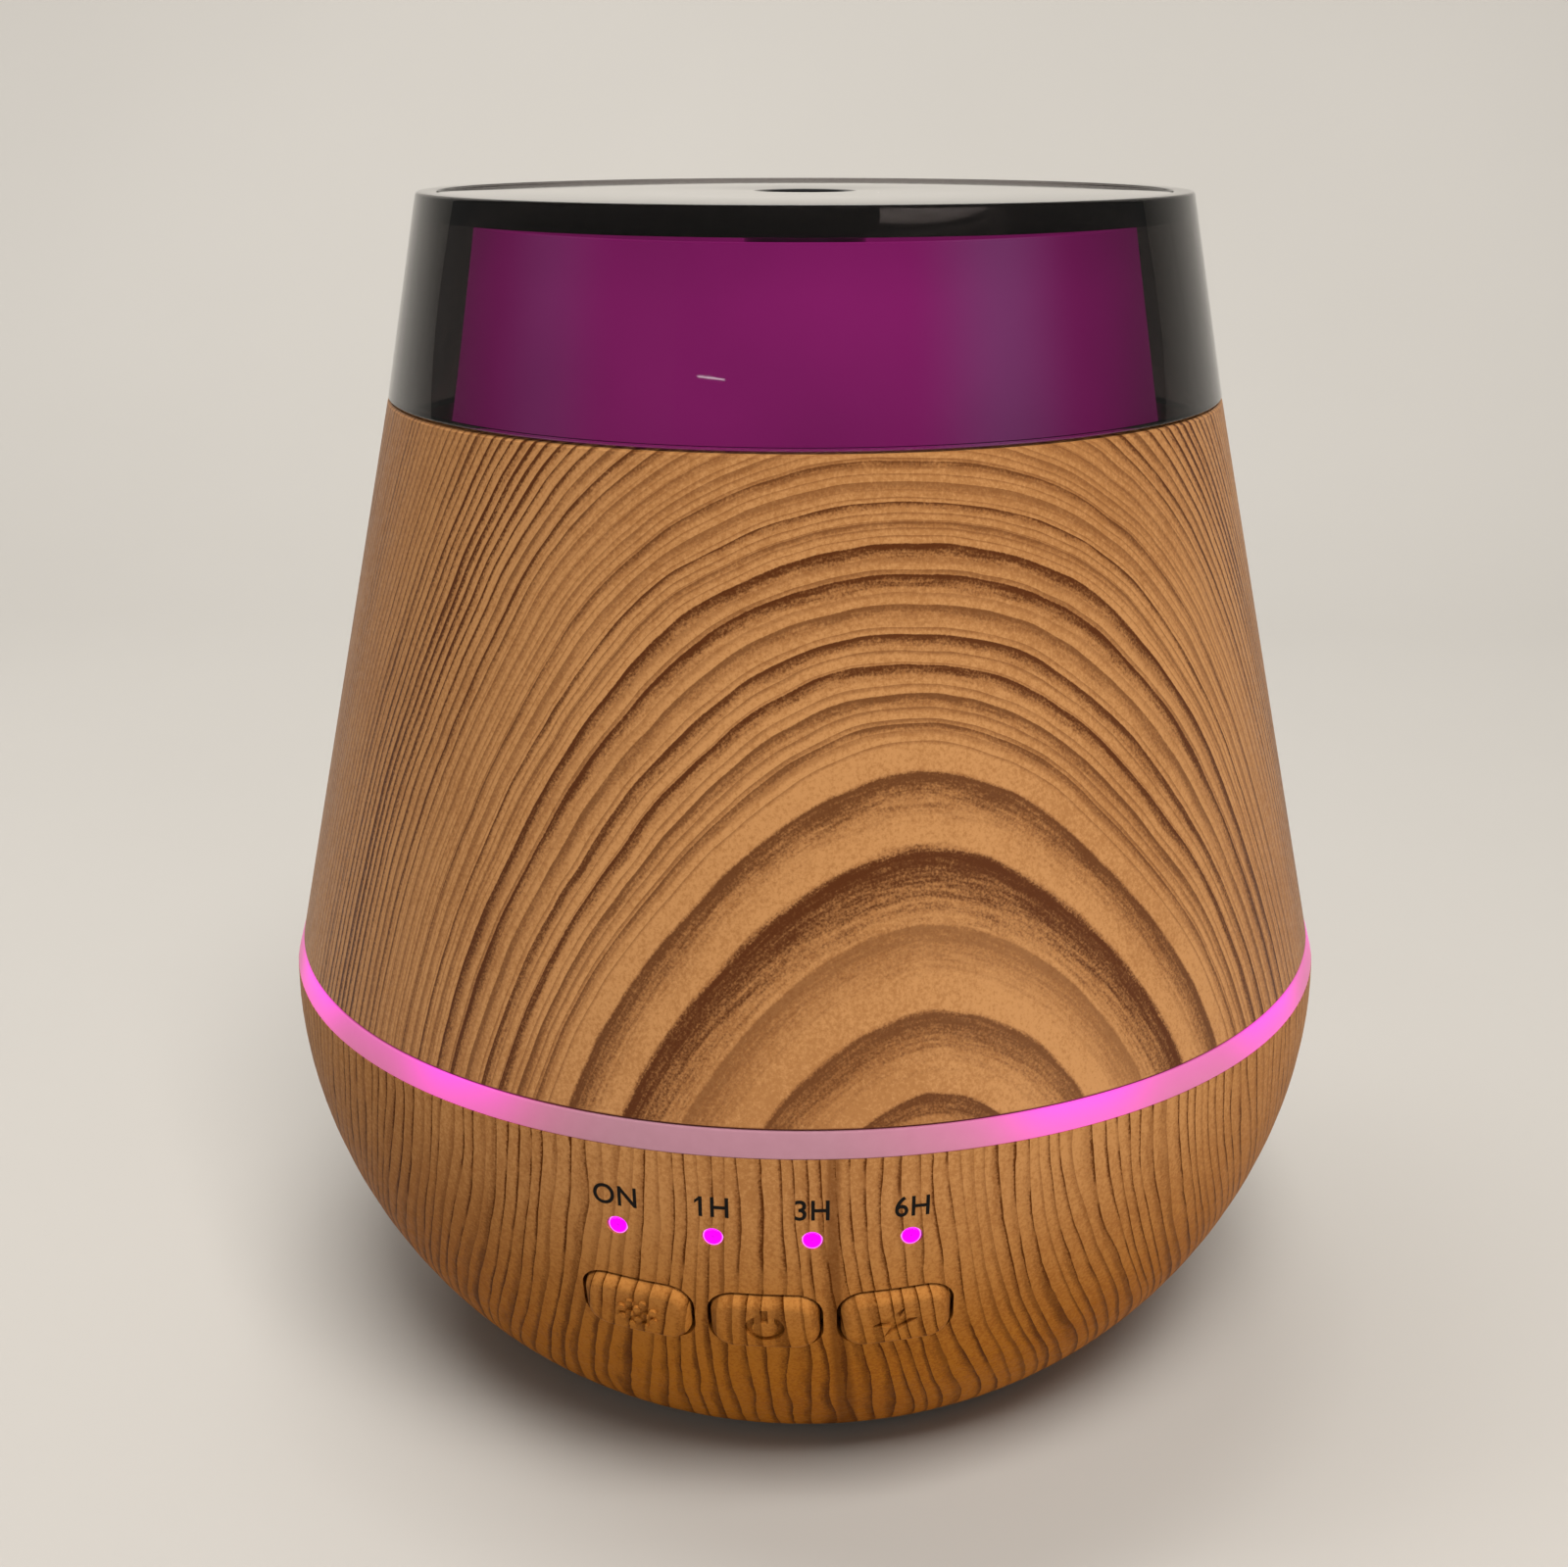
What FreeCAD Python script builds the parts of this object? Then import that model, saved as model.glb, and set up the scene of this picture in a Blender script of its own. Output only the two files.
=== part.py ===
import FreeCAD, Part
import math
import os

from FreeCAD import Vector

# Essential oil diffuser, in millimetres. Z is up from the table top, X is to the right,
# and the buttons face -Y. The origin is the centre of the footprint at the table.

# ---- outer outline, from the table upwards
BOWL_BASE_Z = 2.0
BOWL_BASE_R = 47.0
BOWL_TOP_Z = 57.4
BOWL_TOP_R = 73.4
BOWL_UPPER_HANDLE = (1.3, 23.8)
BOWL_LOWER_HANDLE = (13.6, 9.2)
RING_TOP_Z = 60.5
RING_TOP_R = 72.5
CONE_TOP_Z = 134.9
CONE_TOP_R = 55.85
CAP_TOP_Z = 160.8
CAP_TOP_R = 50.7

# ---- walls, seams and clearances
BOWL_WALL = 2.4
CONE_WALL = 2.6
SEAM = 0.3
MOVING_GAP = 0.45
FIT_GAP = 0.1

# ---- bottom plate, feet and case screws
PLATE_R = 44.4
PLATE_POCKET_R = 44.6
PLATE_LOW_Z = 2.5
PLATE_TOP_Z = 5.1
LEDGE_R = 42.6
LEDGE_TOP_Z = 6.7
FOOT_R = 5.0
FOOT_EDGE = 0.5
FOOT_STUD_R = 2.0
FOOT_STUD_TOP_Z = 4.6
FOOT_CIRCLE_R = 36.0
PILLAR_CIRCLE_R = 38.0
PILLAR_ANGLES = (0, 180, 270)
PILLAR_R = 3.5
PILLAR_LOW_Z = 8.1
SCREW_BOSS_R = 5.0
SCREW_SEAT_Z = 5.5
CASE_SCREW_LENGTH = 13.0

# ---- screws: shank radius, hole radius that takes it, head radius and head height
SHANK_R = 1.4
SHANK_HOLE_R = 1.5
HEAD_R = 2.7
HEAD_HEIGHT = 1.9
CROSS_WIDTH = 0.7
CROSS_DEPTH = 1.0

# ---- light ring and the lamp board below it
RING_BORE_R = 60.2
RING_LIP_R = (67.6, 70.4)
RING_LIP_LOW_Z = 53.4
RING_POST_R = 1.5
RING_POST_CIRCLE_R = 63.2
LAMP_BOARD_R = (60.4, 66.4)
LAMP_BOARD_Z = 53.5
BOARD_THICKNESS = 1.6
LAMP_SIZE = (3.5, 2.8, 1.2)
LAMP_LENS_R = 1.0
LAMP_LENS_PROUD = 0.2
LAMP_PITCH = 30.0
FRONT_ANGLE = -90.0
POST_COUNT = 3

# ---- water tank
TANK_FLOOR_Z = 46.0
TANK_FLOOR_THICKNESS = 2.2
TANK_WALL = 2.0
TANK_LOW_R = 57.0
TANK_FLANGE_R = 68.0
TANK_FLANGE_THICKNESS = 1.8
TANK_COLLAR_R = 66.2
TANK_COLLAR_TOP_Z = 65.6
TANK_RIM_Z = 92.0
TANK_RIM_R = 58.5
TANK_DRAFT = 0.4
TANK_BASIN_RISE = 4.0
FILL_MARK_Z = 84.0
FILL_MARK_SIZE = 0.8
CHIMNEY_Y = 36.0
CHIMNEY_R = (7.5, 9.5)
CHIMNEY_LOW_Z = 40.0
CHIMNEY_TOP_Z = 98.0
CHIMNEY_SEAT_R = 13.4
CHIMNEY_SEAT_Z = 48.6
CHIMNEY_FLANGE_R = 13.0
CHIMNEY_FLANGE_THICKNESS = 1.6

# ---- ultrasonic transducer under the tank floor
SUMP_R = 15.0
SUMP_LOW_Z = 40.0
SUMP_HOLE_R = 7.0
SEAL_POCKET_R = 12.3
SEAL_R = (6.5, 12.2)
SEAL_Z = (40.0, 44.8)
DISC_R = 10.0
DISC_Z = 42.0
DISC_THICKNESS = 0.8
CLAMP_R = 16.0
CLAMP_BORE_R = 8.0
CLAMP_THICKNESS = 1.8
EAR_CIRCLE_R = 18.0
EAR_R = 3.2
EAR_ANGLES = (30, 150, 270)
CLAMP_SCREW_LENGTH = 6.0

# ---- inner lid with the mist spout
LID_TOP_Z = 156.1
LID_TOP_R = 43.5
LID_TAPER = 0.17
LID_WALL = 1.8
LID_SHOULDER_Z = 92.0
LID_SHOULDER_THICKNESS = 2.0
LID_SKIRT_R = (52.0, 54.2)
LID_SKIRT_LOW_Z = 86.0
LID_WEB_Z = 142.0
LID_WEB_THICKNESS = 1.8
SPOUT_R = (9.2, 11.0)
SPOUT_TOP_Z = 150.0

# ---- smoke cap and top plate
CAP_FOOT_INNER_R = 52.55
CAP_TONGUE_R = (51.9, 53.1)
CAP_TONGUE_LOW_Z = 131.2
CAP_LEDGE_R = 47.6
CAP_POCKET_R = 48.0
CAP_EDGE = 0.35
CAP_TONGUE_STEP = 0.6
TOP_PLATE_R = 47.9
TOP_PLATE_LOW_Z = 157.0
TOP_PLATE_TOP_Z = 160.6
TOP_PLATE_EDGE = 0.3
MIST_HOLE_R = 6.5
MIST_COLLAR_R = 8.2
MIST_COLLAR_LOW_Z = 148.0
CONE_SHELF_Z = (129.2, 131.2)
CONE_SHELF_R = 50.6
CONE_EDGE = 0.4

# ---- fan, its bearing and the air duct
FAN_Y = 21.0
FAN_SIDE = 40.0
FAN_Z = (7.0, 17.0)
FAN_BORE_R = 18.8
FAN_HOLE_PITCH = 32.0
FAN_HUB_R = 8.0
FAN_STRUT_WIDTH = 2.0
FAN_BACK_THICKNESS = 1.6
FAN_CORNER_R = 3.0
FAN_HOLE_R = 1.7
FAN_SCREW_LENGTH = 13.0
ROTOR_R = 18.2
ROTOR_HUB_R = 8.2
ROTOR_Z = (9.4, 16.4)
ROTOR_SHELL = 1.2
BLADE_COUNT = 7
BLADE_PITCH = 38.0
BLADE_THICKNESS = 1.0
BLADE_CHORD = 9.6
SHAFT_R = 1.0
SHAFT_CLEARANCE = 0.05
BUSH_R = 2.5
BUSH_LOW_Z = 7.8
BUSH_FLOOR = 0.6
BUSH_TOP_Z = 13.5
BUSH_HOUSING_R = 3.8
MAGNET_THICKNESS = 1.6
DUCT_PLATE_THICKNESS = 1.5
DUCT_WALL = 1.4
DUCT_TOP_Z = 45.0
DUCT_NECK_Z = 38.0
GRILLE_R = 17.0
GRILLE_SLOT = 2.2
GRILLE_PITCH = 4.2
GRILLE_SPINE = 2.4

# ---- driver board in the base
DRIVER_SIZE = (60.0, 28.0)
DRIVER_Y = -18.0
DRIVER_Z = 12.0
DRIVER_HOLE_SPACING = (52.0, 21.0)
DRIVER_SCREW_LENGTH = 6.5
POST_R = 3.0

# ---- what stands on the driver board: sizes, and places measured from its centre
CAPACITOR_R = 4.0
CAPACITOR_HEIGHT = 12.0
CAPACITOR_GROOVE = (1.6, 2.2)
CAPACITOR_PLACE = (-14.0, 5.0)
INDUCTOR_R = 5.0
INDUCTOR_CORE_R = 4.0
INDUCTOR_HEIGHT = 8.0
INDUCTOR_FLANGE = 1.5
INDUCTOR_PLACE = (-1.0, 4.0)
SINK_X = (8.0, 22.0)
SINK_Y = (3.2, 5.2, 11.0)
SINK_HEIGHT = 15.0
FIN_COUNT = 6
FIN_THICKNESS = 1.2
TRANSISTOR_X = (10.5, 19.5)
TRANSISTOR_Y = (-1.2, 3.2)
TRANSISTOR_Z = (4.0, 12.0)
TRANSISTOR_LEG_XS = (11.8, 14.6, 17.4)
TRANSISTOR_LEG_SIZE = (0.8, 0.6)
CHIP_BODY = (9.8, 3.9, 1.5)
CHIP_PLACE = (-6.0, -7.0)
CHIP_LEAD_SIZE = (0.45, 6.0, 0.5)
CHIP_LEAD_COUNT = 8
CHIP_LEAD_PITCH = 1.27
CHIP_STANDOFF = 0.3
CONNECTOR_SIZE = (7.4, 4.8, 5.5)
CONNECTOR_WALL = 0.7
CONNECTOR_FLOOR = 1.2
CONNECTOR_XS = (-16.6, 3.4, 11.6, 19.8)
CONNECTOR_Y = -6.0

# ---- power inlet at the back
INLET_Z = 20.0
INLET_RECESS_R = 5.2
INLET_TUBE_R = 7.0
INLET_FACE_Y = 54.0
JACK_SIZE = (9.0, 10.4, 11.0)
JACK_SETBACK = 0.4
JACK_SOCKET_R = 2.8
JACK_SOCKET_DEPTH = 9.0
JACK_PIN_R = 1.0
JACK_PIN_LENGTH = 8.0
JACK_TAG_SIZE = (3.0, 1.2, 0.8)
RIB_THICKNESS = 1.4
RIB_DEPTH = 8.0
RIB_HEIGHT = 10.0

# ---- control panel: buttons, switches and indicator lights
BUTTON_Z = 34.05
BUTTON_ANGLE = 12.77
BUTTON_SIZE = (13.0, 9.0)
# the caps sit this far up the wall from the line of their switches
BUTTON_SHIFT = -0.6
BUTTON_CORNER = 3.0
BUTTON_PROUD = 1.1
BUTTON_EDGE = 1.3
BUTTON_INNER = 3.7
FLANGE_MARGIN = 1.0
FLANGE_INSET = (2.8, 3.8)
STEM_R = 1.6
PANEL_BOARD_DEPTH = 12.0
PANEL_BOARD_SIZE = (58.0, 20.5)
PANEL_BOARD_LOW = -8.0
SWITCH_SIDE = 6.0
SWITCH_HEIGHT = 3.5
PLUNGER_R = 1.7
PLUNGER_PROUD = 0.6
PLUNGER_LENGTH = 2.4
PLUNGER_BORE_DEPTH = 2.7
STEM_GAP = 0.15
PANEL_SCREW_X = 26.0
PANEL_SCREW_LENGTH = 3.8
PANEL_BOSS_R = 2.6
LED_Z = 46.6
LED_ANGLE = 9.12
LED_COUNT = 4
LED_HOLE_R = 1.3
LED_PIN_R = 1.22
LED_RECESS = 0.35
GUIDE_BAR_Y = (-67.7, -66.3)
GUIDE_BAR_HEIGHT = 3.0
GUIDE_BAR_MARGIN = 4.0
GUIDE_BACK_Y = -64.2
LED_SIZE = (1.8, 1.4, 0.9)
ICON_DEPTH = 0.6
ICON_R = 2.4
ICON_STROKE = 0.9
ICON_GAP = 2.4
BOLT_OUTLINE = ((1.3, 2.6), (-2.8, -0.4), (-0.5, -0.7), (-1.3, -2.6), (2.8, 0.4), (0.5, 0.7))
FLOWER_R = 2.1
DOT_R = 0.45
DOT_PROUD = 0.4
OUTER_DOTS = 8
INNER_DOTS = 4

# ---- tools for cutting reach this far past the surface they cut
PAST = 1.0
# ---- low and high ends of a prism that crosses the bowl's wall at the panel
WALL_SPAN = (-9.0, 6.0)


# ======== plain shapes

def rod(radius, low_z, high_z, x=0.0, y=0.0):
    return Part.makeCylinder(radius, high_z - low_z, Vector(x, y, low_z))


def y_rod(radius, low_y, high_y, x, z):
    return Part.makeCylinder(radius, high_y - low_y, Vector(x, low_y, z), Vector(0, 1, 0))


def tube(outer_r, inner_r, low_z, high_z, x=0.0, y=0.0):
    return rod(outer_r, low_z, high_z, x, y).cut(rod(inner_r, low_z, high_z, x, y))


def block(low, high):
    size = [b - a for a, b in zip(low, high)]
    return Part.makeBox(size[0], size[1], size[2], Vector(*low))


def centred_block(width, depth, low_z, high_z, x=0.0, y=0.0):
    return block((x - width / 2, y - depth / 2, low_z), (x + width / 2, y + depth / 2, high_z))


def turned(points):
    """A solid of revolution about Z from a closed outline of (radius, height) points."""
    corners = [Vector(r, 0, z) for r, z in points]
    face = Part.Face(Part.makePolygon(corners + corners[:1]))
    return face.revolve(Vector(0, 0, 0), Vector(0, 0, 1), 360)


def on_circle(radius, angle):
    turn = math.radians(angle)
    return radius * math.cos(turn), radius * math.sin(turn)


def joined(shapes):
    shape = shapes[0]
    if len(shapes) > 1:
        shape = shape.fuse(shapes[1:])
    return shape.removeSplitter()


def round_uprights(shape, radius):
    upright = [e for e in shape.Edges if abs(e.tangentAt(e.FirstParameter).z) > 0.9]
    return shape.makeFillet(radius, upright)


def screw(x, y, seat_z, length, head_up):
    """A cross-head screw whose head rests on seat_z, with its shank on the far side."""
    if head_up:
        head = rod(HEAD_R, seat_z, seat_z + HEAD_HEIGHT, x, y)
        shank = rod(SHANK_R, seat_z - length, seat_z, x, y)
        low, high = seat_z + HEAD_HEIGHT - CROSS_DEPTH, seat_z + HEAD_HEIGHT
    else:
        head = rod(HEAD_R, seat_z - HEAD_HEIGHT, seat_z, x, y)
        shank = rod(SHANK_R, seat_z, seat_z + length, x, y)
        low, high = seat_z - HEAD_HEIGHT, seat_z - HEAD_HEIGHT + CROSS_DEPTH
    cross = [
        centred_block(HEAD_R * 1.3, CROSS_WIDTH, low, high, x, y),
        centred_block(CROSS_WIDTH, HEAD_R * 1.3, low, high, x, y),
    ]
    return joined([head, shank]).cut(cross)


def write(name, shape):
    solids = shape.Solids
    if not solids or not shape.isValid():
        raise RuntimeError(name + " is not a valid solid")
    if len(solids) == 1:
        shape = solids[0]
    shape.exportStep(os.path.join("parts", name + ".step"))


# ======== the outer outline

def bowl_curve(inset=0.0):
    """The bowl's outline as one cubic curve, moved inwards by inset along its normals."""
    poles = [
        (BOWL_TOP_R, BOWL_TOP_Z),
        (BOWL_TOP_R + BOWL_UPPER_HANDLE[0], BOWL_TOP_Z - BOWL_UPPER_HANDLE[1]),
        (BOWL_BASE_R + BOWL_LOWER_HANDLE[0], BOWL_BASE_Z + BOWL_LOWER_HANDLE[1]),
        (BOWL_BASE_R, BOWL_BASE_Z),
    ]
    moved = []
    for index, (r, z) in enumerate(poles):
        before = poles[max(index - 1, 0)]
        after = poles[min(index + 1, len(poles) - 1)]
        run = math.hypot(after[0] - before[0], after[1] - before[1])
        normal = ((after[1] - before[1]) / run, (before[0] - after[0]) / run)
        moved.append(Vector(r + normal[0] * inset, 0, z + normal[1] * inset))
    curve = Part.BezierCurve()
    curve.setPoles(moved)
    return curve


def bowl_body(inset=0.0):
    """Everything inside the bowl's outline, as one solid, up to well above its rim."""
    curve = bowl_curve(inset)
    top, bottom = curve.StartPoint, curve.EndPoint
    above = Vector(top.x, 0, BOWL_TOP_Z + 4)
    axis_top = Vector(0, 0, above.z)
    axis_bottom = Vector(0, 0, bottom.z)
    edges = [curve.toShape()]
    for start, end in ((bottom, axis_bottom), (axis_bottom, axis_top), (axis_top, above)):
        edges.append(Part.makeLine(start, end))
    if (above - top).Length > 1e-6:
        edges.append(Part.makeLine(above, top))
    face = Part.Face(Part.Wire(Part.__sortEdges__(edges)))
    return face.revolve(Vector(0, 0, 0), Vector(0, 0, 1), 360)


def bowl_point(height):
    """Radius and outward slope angle (below the horizontal) of the bowl at a height."""
    curve = bowl_curve()
    low, high = 0.0, 1.0
    for _ in range(50):
        middle = (low + high) / 2
        if curve.value(middle).z > height:
            low = middle
        else:
            high = middle
    tangent = curve.tangent(low)[0]
    return curve.value(low).x, math.atan2(abs(tangent.x), abs(tangent.z))


def cone_r(height):
    share = (height - RING_TOP_Z) / (CONE_TOP_Z - RING_TOP_Z)
    return RING_TOP_R + (CONE_TOP_R - RING_TOP_R) * share


def cap_r(height):
    share = (height - CONE_TOP_Z) / (CAP_TOP_Z - CONE_TOP_Z)
    return CONE_TOP_R + (CAP_TOP_R - CONE_TOP_R) * share


def lid_r(height):
    return LID_TOP_R + LID_TAPER * (LID_TOP_Z - height)


# ======== the control panel's own frame: x right, y up along the bowl, z outwards

def panel_placement():
    radius, slope = bowl_point(BUTTON_Z)
    outward = Vector(0, -math.cos(slope), -math.sin(slope))
    upward = Vector(0, -math.sin(slope), math.cos(slope))
    rotation = FreeCAD.Rotation(Vector(1, 0, 0), upward, outward, "ZXY")
    return FreeCAD.Placement(Vector(0, -radius, BUTTON_Z), rotation)


PANEL = panel_placement()


def on_panel(shape):
    placed = shape.copy()
    placed.Placement = PANEL.multiply(placed.Placement)
    return placed


def panel_local(point):
    return PANEL.inverse().multVec(point)


def button_x(side):
    radius = bowl_point(BUTTON_Z)[0]
    return radius * math.sin(math.radians(BUTTON_ANGLE)) * side


def led_places():
    """The four indicator holes: x and the y of the bowl's surface there."""
    radius = bowl_point(LED_Z)[0]
    places = []
    for index in range(LED_COUNT):
        turn = math.radians(LED_ANGLE * (index - (LED_COUNT - 1) / 2))
        places.append((radius * math.sin(turn), -radius * math.cos(turn)))
    return places


def rounded_prism(grow, low, high, x):
    """The button's rounded outline, grown all round, as a prism in the panel's frame."""
    width, height = BUTTON_SIZE[0] + 2 * grow, BUTTON_SIZE[1] + 2 * grow
    return round_uprights(centred_block(width, height, low, high, x, BUTTON_SHIFT), BUTTON_CORNER + grow)


# ======== the base

def lower_bowl():
    body = bowl_body().cut(rod(BOWL_TOP_R + PAST, BOWL_TOP_Z, RING_TOP_Z + 2 * PAST))
    cavity = bowl_body(BOWL_WALL).cut(rod(BOWL_TOP_R, 0, LEDGE_TOP_Z))
    shell = body.cut([
        cavity,
        rod(PLATE_POCKET_R, 0, PLATE_TOP_Z),
        rod(LEDGE_R, 0, LEDGE_TOP_Z + PAST),
    ])
    shell = joined([shell] + inlet_supports() + panel_bosses())
    tools = [y_rod(INLET_RECESS_R, INLET_FACE_Y, BOWL_TOP_R, 0, INLET_Z)]
    for side in (-1, 0, 1):
        tools.append(on_panel(rounded_prism(MOVING_GAP, *WALL_SPAN, button_x(side))))
    for x, y in led_places():
        tools.append(y_rod(LED_HOLE_R, -BOWL_TOP_R, y + 3 * BOWL_WALL, x, LED_Z))
    board = -PANEL_BOARD_DEPTH
    for side in (-1, 1):
        pilot = rod(SHANK_HOLE_R, board - PAST, board + BOWL_WALL, side * PANEL_SCREW_X, 0)
        tools.append(on_panel(pilot))
    return shell.cut(tools)


def inlet_supports():
    """The tube round the plug recess, and a rib each side of the jack."""
    inside = bowl_body(BOWL_WALL / 2)
    supports = [y_rod(INLET_TUBE_R, INLET_FACE_Y, BOWL_TOP_R, 0, INLET_Z).common(bowl_body())]
    near = JACK_SIZE[0] / 2 + FIT_GAP
    for side in (-1, 1):
        low_x, high_x = sorted((side * near, side * (near + RIB_THICKNESS)))
        rib = block((low_x, INLET_FACE_Y - RIB_DEPTH, INLET_Z - RIB_HEIGHT / 2),
                    (high_x, BOWL_TOP_R, INLET_Z + RIB_HEIGHT / 2))
        supports.append(rib.common(inside))
    return supports


def panel_bosses():
    inside = bowl_body(BOWL_WALL / 2)
    low, high = -PANEL_BOARD_DEPTH, WALL_SPAN[1]
    bosses = [rod(PANEL_BOSS_R, low, high, side * PANEL_SCREW_X, 0) for side in (-1, 1)]
    return [on_panel(boss).common(inside) for boss in bosses]


def foot_places():
    return [on_circle(FOOT_CIRCLE_R, 45 + 90 * index) for index in range(4)]


def pillar_places():
    return [on_circle(PILLAR_CIRCLE_R, angle) for angle in PILLAR_ANGLES]


def fan_corners():
    half = FAN_HOLE_PITCH / 2
    return [(sx * half, FAN_Y + sy * half) for sx in (-1, 1) for sy in (-1, 1)]


def driver_corners():
    dx, dy = DRIVER_HOLE_SPACING[0] / 2, DRIVER_HOLE_SPACING[1] / 2
    return [(sx * dx, DRIVER_Y + sy * dy) for sx in (-1, 1) for sy in (-1, 1)]


def grille_slots():
    low, high = PLATE_LOW_Z - PAST, PLATE_TOP_Z + PAST
    disc = rod(GRILLE_R, low, high, 0, FAN_Y)
    count = int(GRILLE_R / GRILLE_PITCH)
    slots = []
    for index in range(-count, count + 1):
        y = FAN_Y + index * GRILLE_PITCH
        slots.append(centred_block(2 * GRILLE_R, GRILLE_SLOT, low, high, 0, y).common(disc))
    spine = centred_block(GRILLE_SPINE, 3 * GRILLE_R, low, high, 0, FAN_Y)
    return [slot.cut(spine) for slot in slots]


def bottom_plate():
    parts = [rod(PLATE_R, PLATE_LOW_Z, PLATE_TOP_Z)]
    within_ledge = rod(LEDGE_R - SEAM, 0, DRIVER_Z)
    for x, y in pillar_places():
        parts.append(rod(SCREW_BOSS_R, PLATE_LOW_Z, PILLAR_LOW_Z - FIT_GAP, x, y).common(within_ledge))
    for x, y in fan_corners():
        parts.append(rod(POST_R, PLATE_LOW_Z, FAN_Z[0], x, y).common(within_ledge))
    for x, y in driver_corners():
        parts.append(rod(POST_R, PLATE_LOW_Z, DRIVER_Z, x, y))
    tools = grille_slots()
    for x, y in foot_places():
        tools.append(rod(FOOT_STUD_R, 0, FOOT_STUD_TOP_Z, x, y))
    for x, y in pillar_places():
        tools.append(rod(HEAD_R + MOVING_GAP, 0, SCREW_SEAT_Z, x, y))
        tools.append(rod(SHANK_HOLE_R, 0, DRIVER_Z, x, y))
    for x, y in fan_corners() + driver_corners():
        tools.append(rod(SHANK_HOLE_R, PLATE_TOP_Z - 2 * SEAM, DRIVER_Z + PAST, x, y))
    return joined(parts).cut(tools)


def rubber_feet():
    feet = []
    for x, y in foot_places():
        pad = rod(FOOT_R, 0, PLATE_LOW_Z, x, y)
        pad = pad.makeChamfer(FOOT_EDGE, [e for e in pad.Edges if e.BoundBox.ZMax < FOOT_EDGE])
        feet.append(joined([pad, rod(FOOT_STUD_R, PLATE_LOW_Z - PAST, FOOT_STUD_TOP_Z, x, y)]))
    return Part.makeCompound(feet)


def case_screws():
    screws = [screw(x, y, SCREW_SEAT_Z, CASE_SCREW_LENGTH, False) for x, y in pillar_places()]
    return Part.makeCompound(screws)


def light_ring():
    """The glowing band, with a lip inside the bowl's rim and three posts that hold the lamp board."""
    plate = turned([
        (RING_BORE_R, BOWL_TOP_Z), (BOWL_TOP_R, BOWL_TOP_Z),
        (RING_TOP_R, RING_TOP_Z), (RING_BORE_R, RING_TOP_Z),
    ])
    rooted = BOWL_TOP_Z + PAST
    lip = tube(RING_LIP_R[1], RING_LIP_R[0], RING_LIP_LOW_Z, rooted)
    posts = []
    for index in range(POST_COUNT):
        angle = FRONT_ANGLE + 1.5 * LAMP_PITCH + index * 360 / POST_COUNT
        x, y = on_circle(RING_POST_CIRCLE_R, angle)
        posts.append(rod(RING_POST_R, LAMP_BOARD_Z + BOARD_THICKNESS, rooted, x, y))
    return joined([plate, lip] + posts)


def lamp_angles():
    """Evenly spaced all round, except that there is no lamp at the front."""
    return [FRONT_ANGLE + LAMP_PITCH * index for index in range(1, int(360 / LAMP_PITCH))]


def mood_lamp_board():
    return tube(LAMP_BOARD_R[1], LAMP_BOARD_R[0], LAMP_BOARD_Z, LAMP_BOARD_Z + BOARD_THICKNESS)


def mood_lamps():
    low = LAMP_BOARD_Z + BOARD_THICKNESS
    top = low + LAMP_SIZE[2]
    lamps = []
    for angle in lamp_angles():
        case = centred_block(LAMP_SIZE[1], LAMP_SIZE[0], low, top, RING_POST_CIRCLE_R, 0)
        lens = rod(LAMP_LENS_R, low, top + LAMP_LENS_PROUD, RING_POST_CIRCLE_R, 0)
        lamp = joined([case, lens])
        lamp.rotate(Vector(0, 0, 0), Vector(0, 0, 1), angle)
        lamps.append(lamp)
    return Part.makeCompound(lamps)


# ======== water tank and transducer

def tank_shell():
    flange_top = RING_TOP_Z + TANK_FLANGE_THICKNESS
    outer_low = TANK_LOW_R + TANK_WALL
    outer_flange = outer_low + TANK_DRAFT
    floor_top = TANK_FLOOR_Z + TANK_FLOOR_THICKNESS
    basin_r = TANK_LOW_R - TANK_DRAFT
    return turned([
        (0, TANK_FLOOR_Z), (outer_low, TANK_FLOOR_Z), (outer_flange, RING_TOP_Z),
        (TANK_FLANGE_R, RING_TOP_Z), (TANK_FLANGE_R, TANK_COLLAR_TOP_Z),
        (TANK_COLLAR_R, TANK_COLLAR_TOP_Z), (TANK_COLLAR_R, flange_top), (outer_flange, flange_top),
        (TANK_RIM_R, TANK_RIM_Z), (TANK_RIM_R - TANK_WALL, TANK_RIM_Z),
        (basin_r, floor_top + TANK_BASIN_RISE), (basin_r - TANK_BASIN_RISE, floor_top),
        (0, floor_top - TANK_DRAFT),
    ])


def ear_places():
    return [on_circle(EAR_CIRCLE_R, angle) for angle in EAR_ANGLES]


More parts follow.
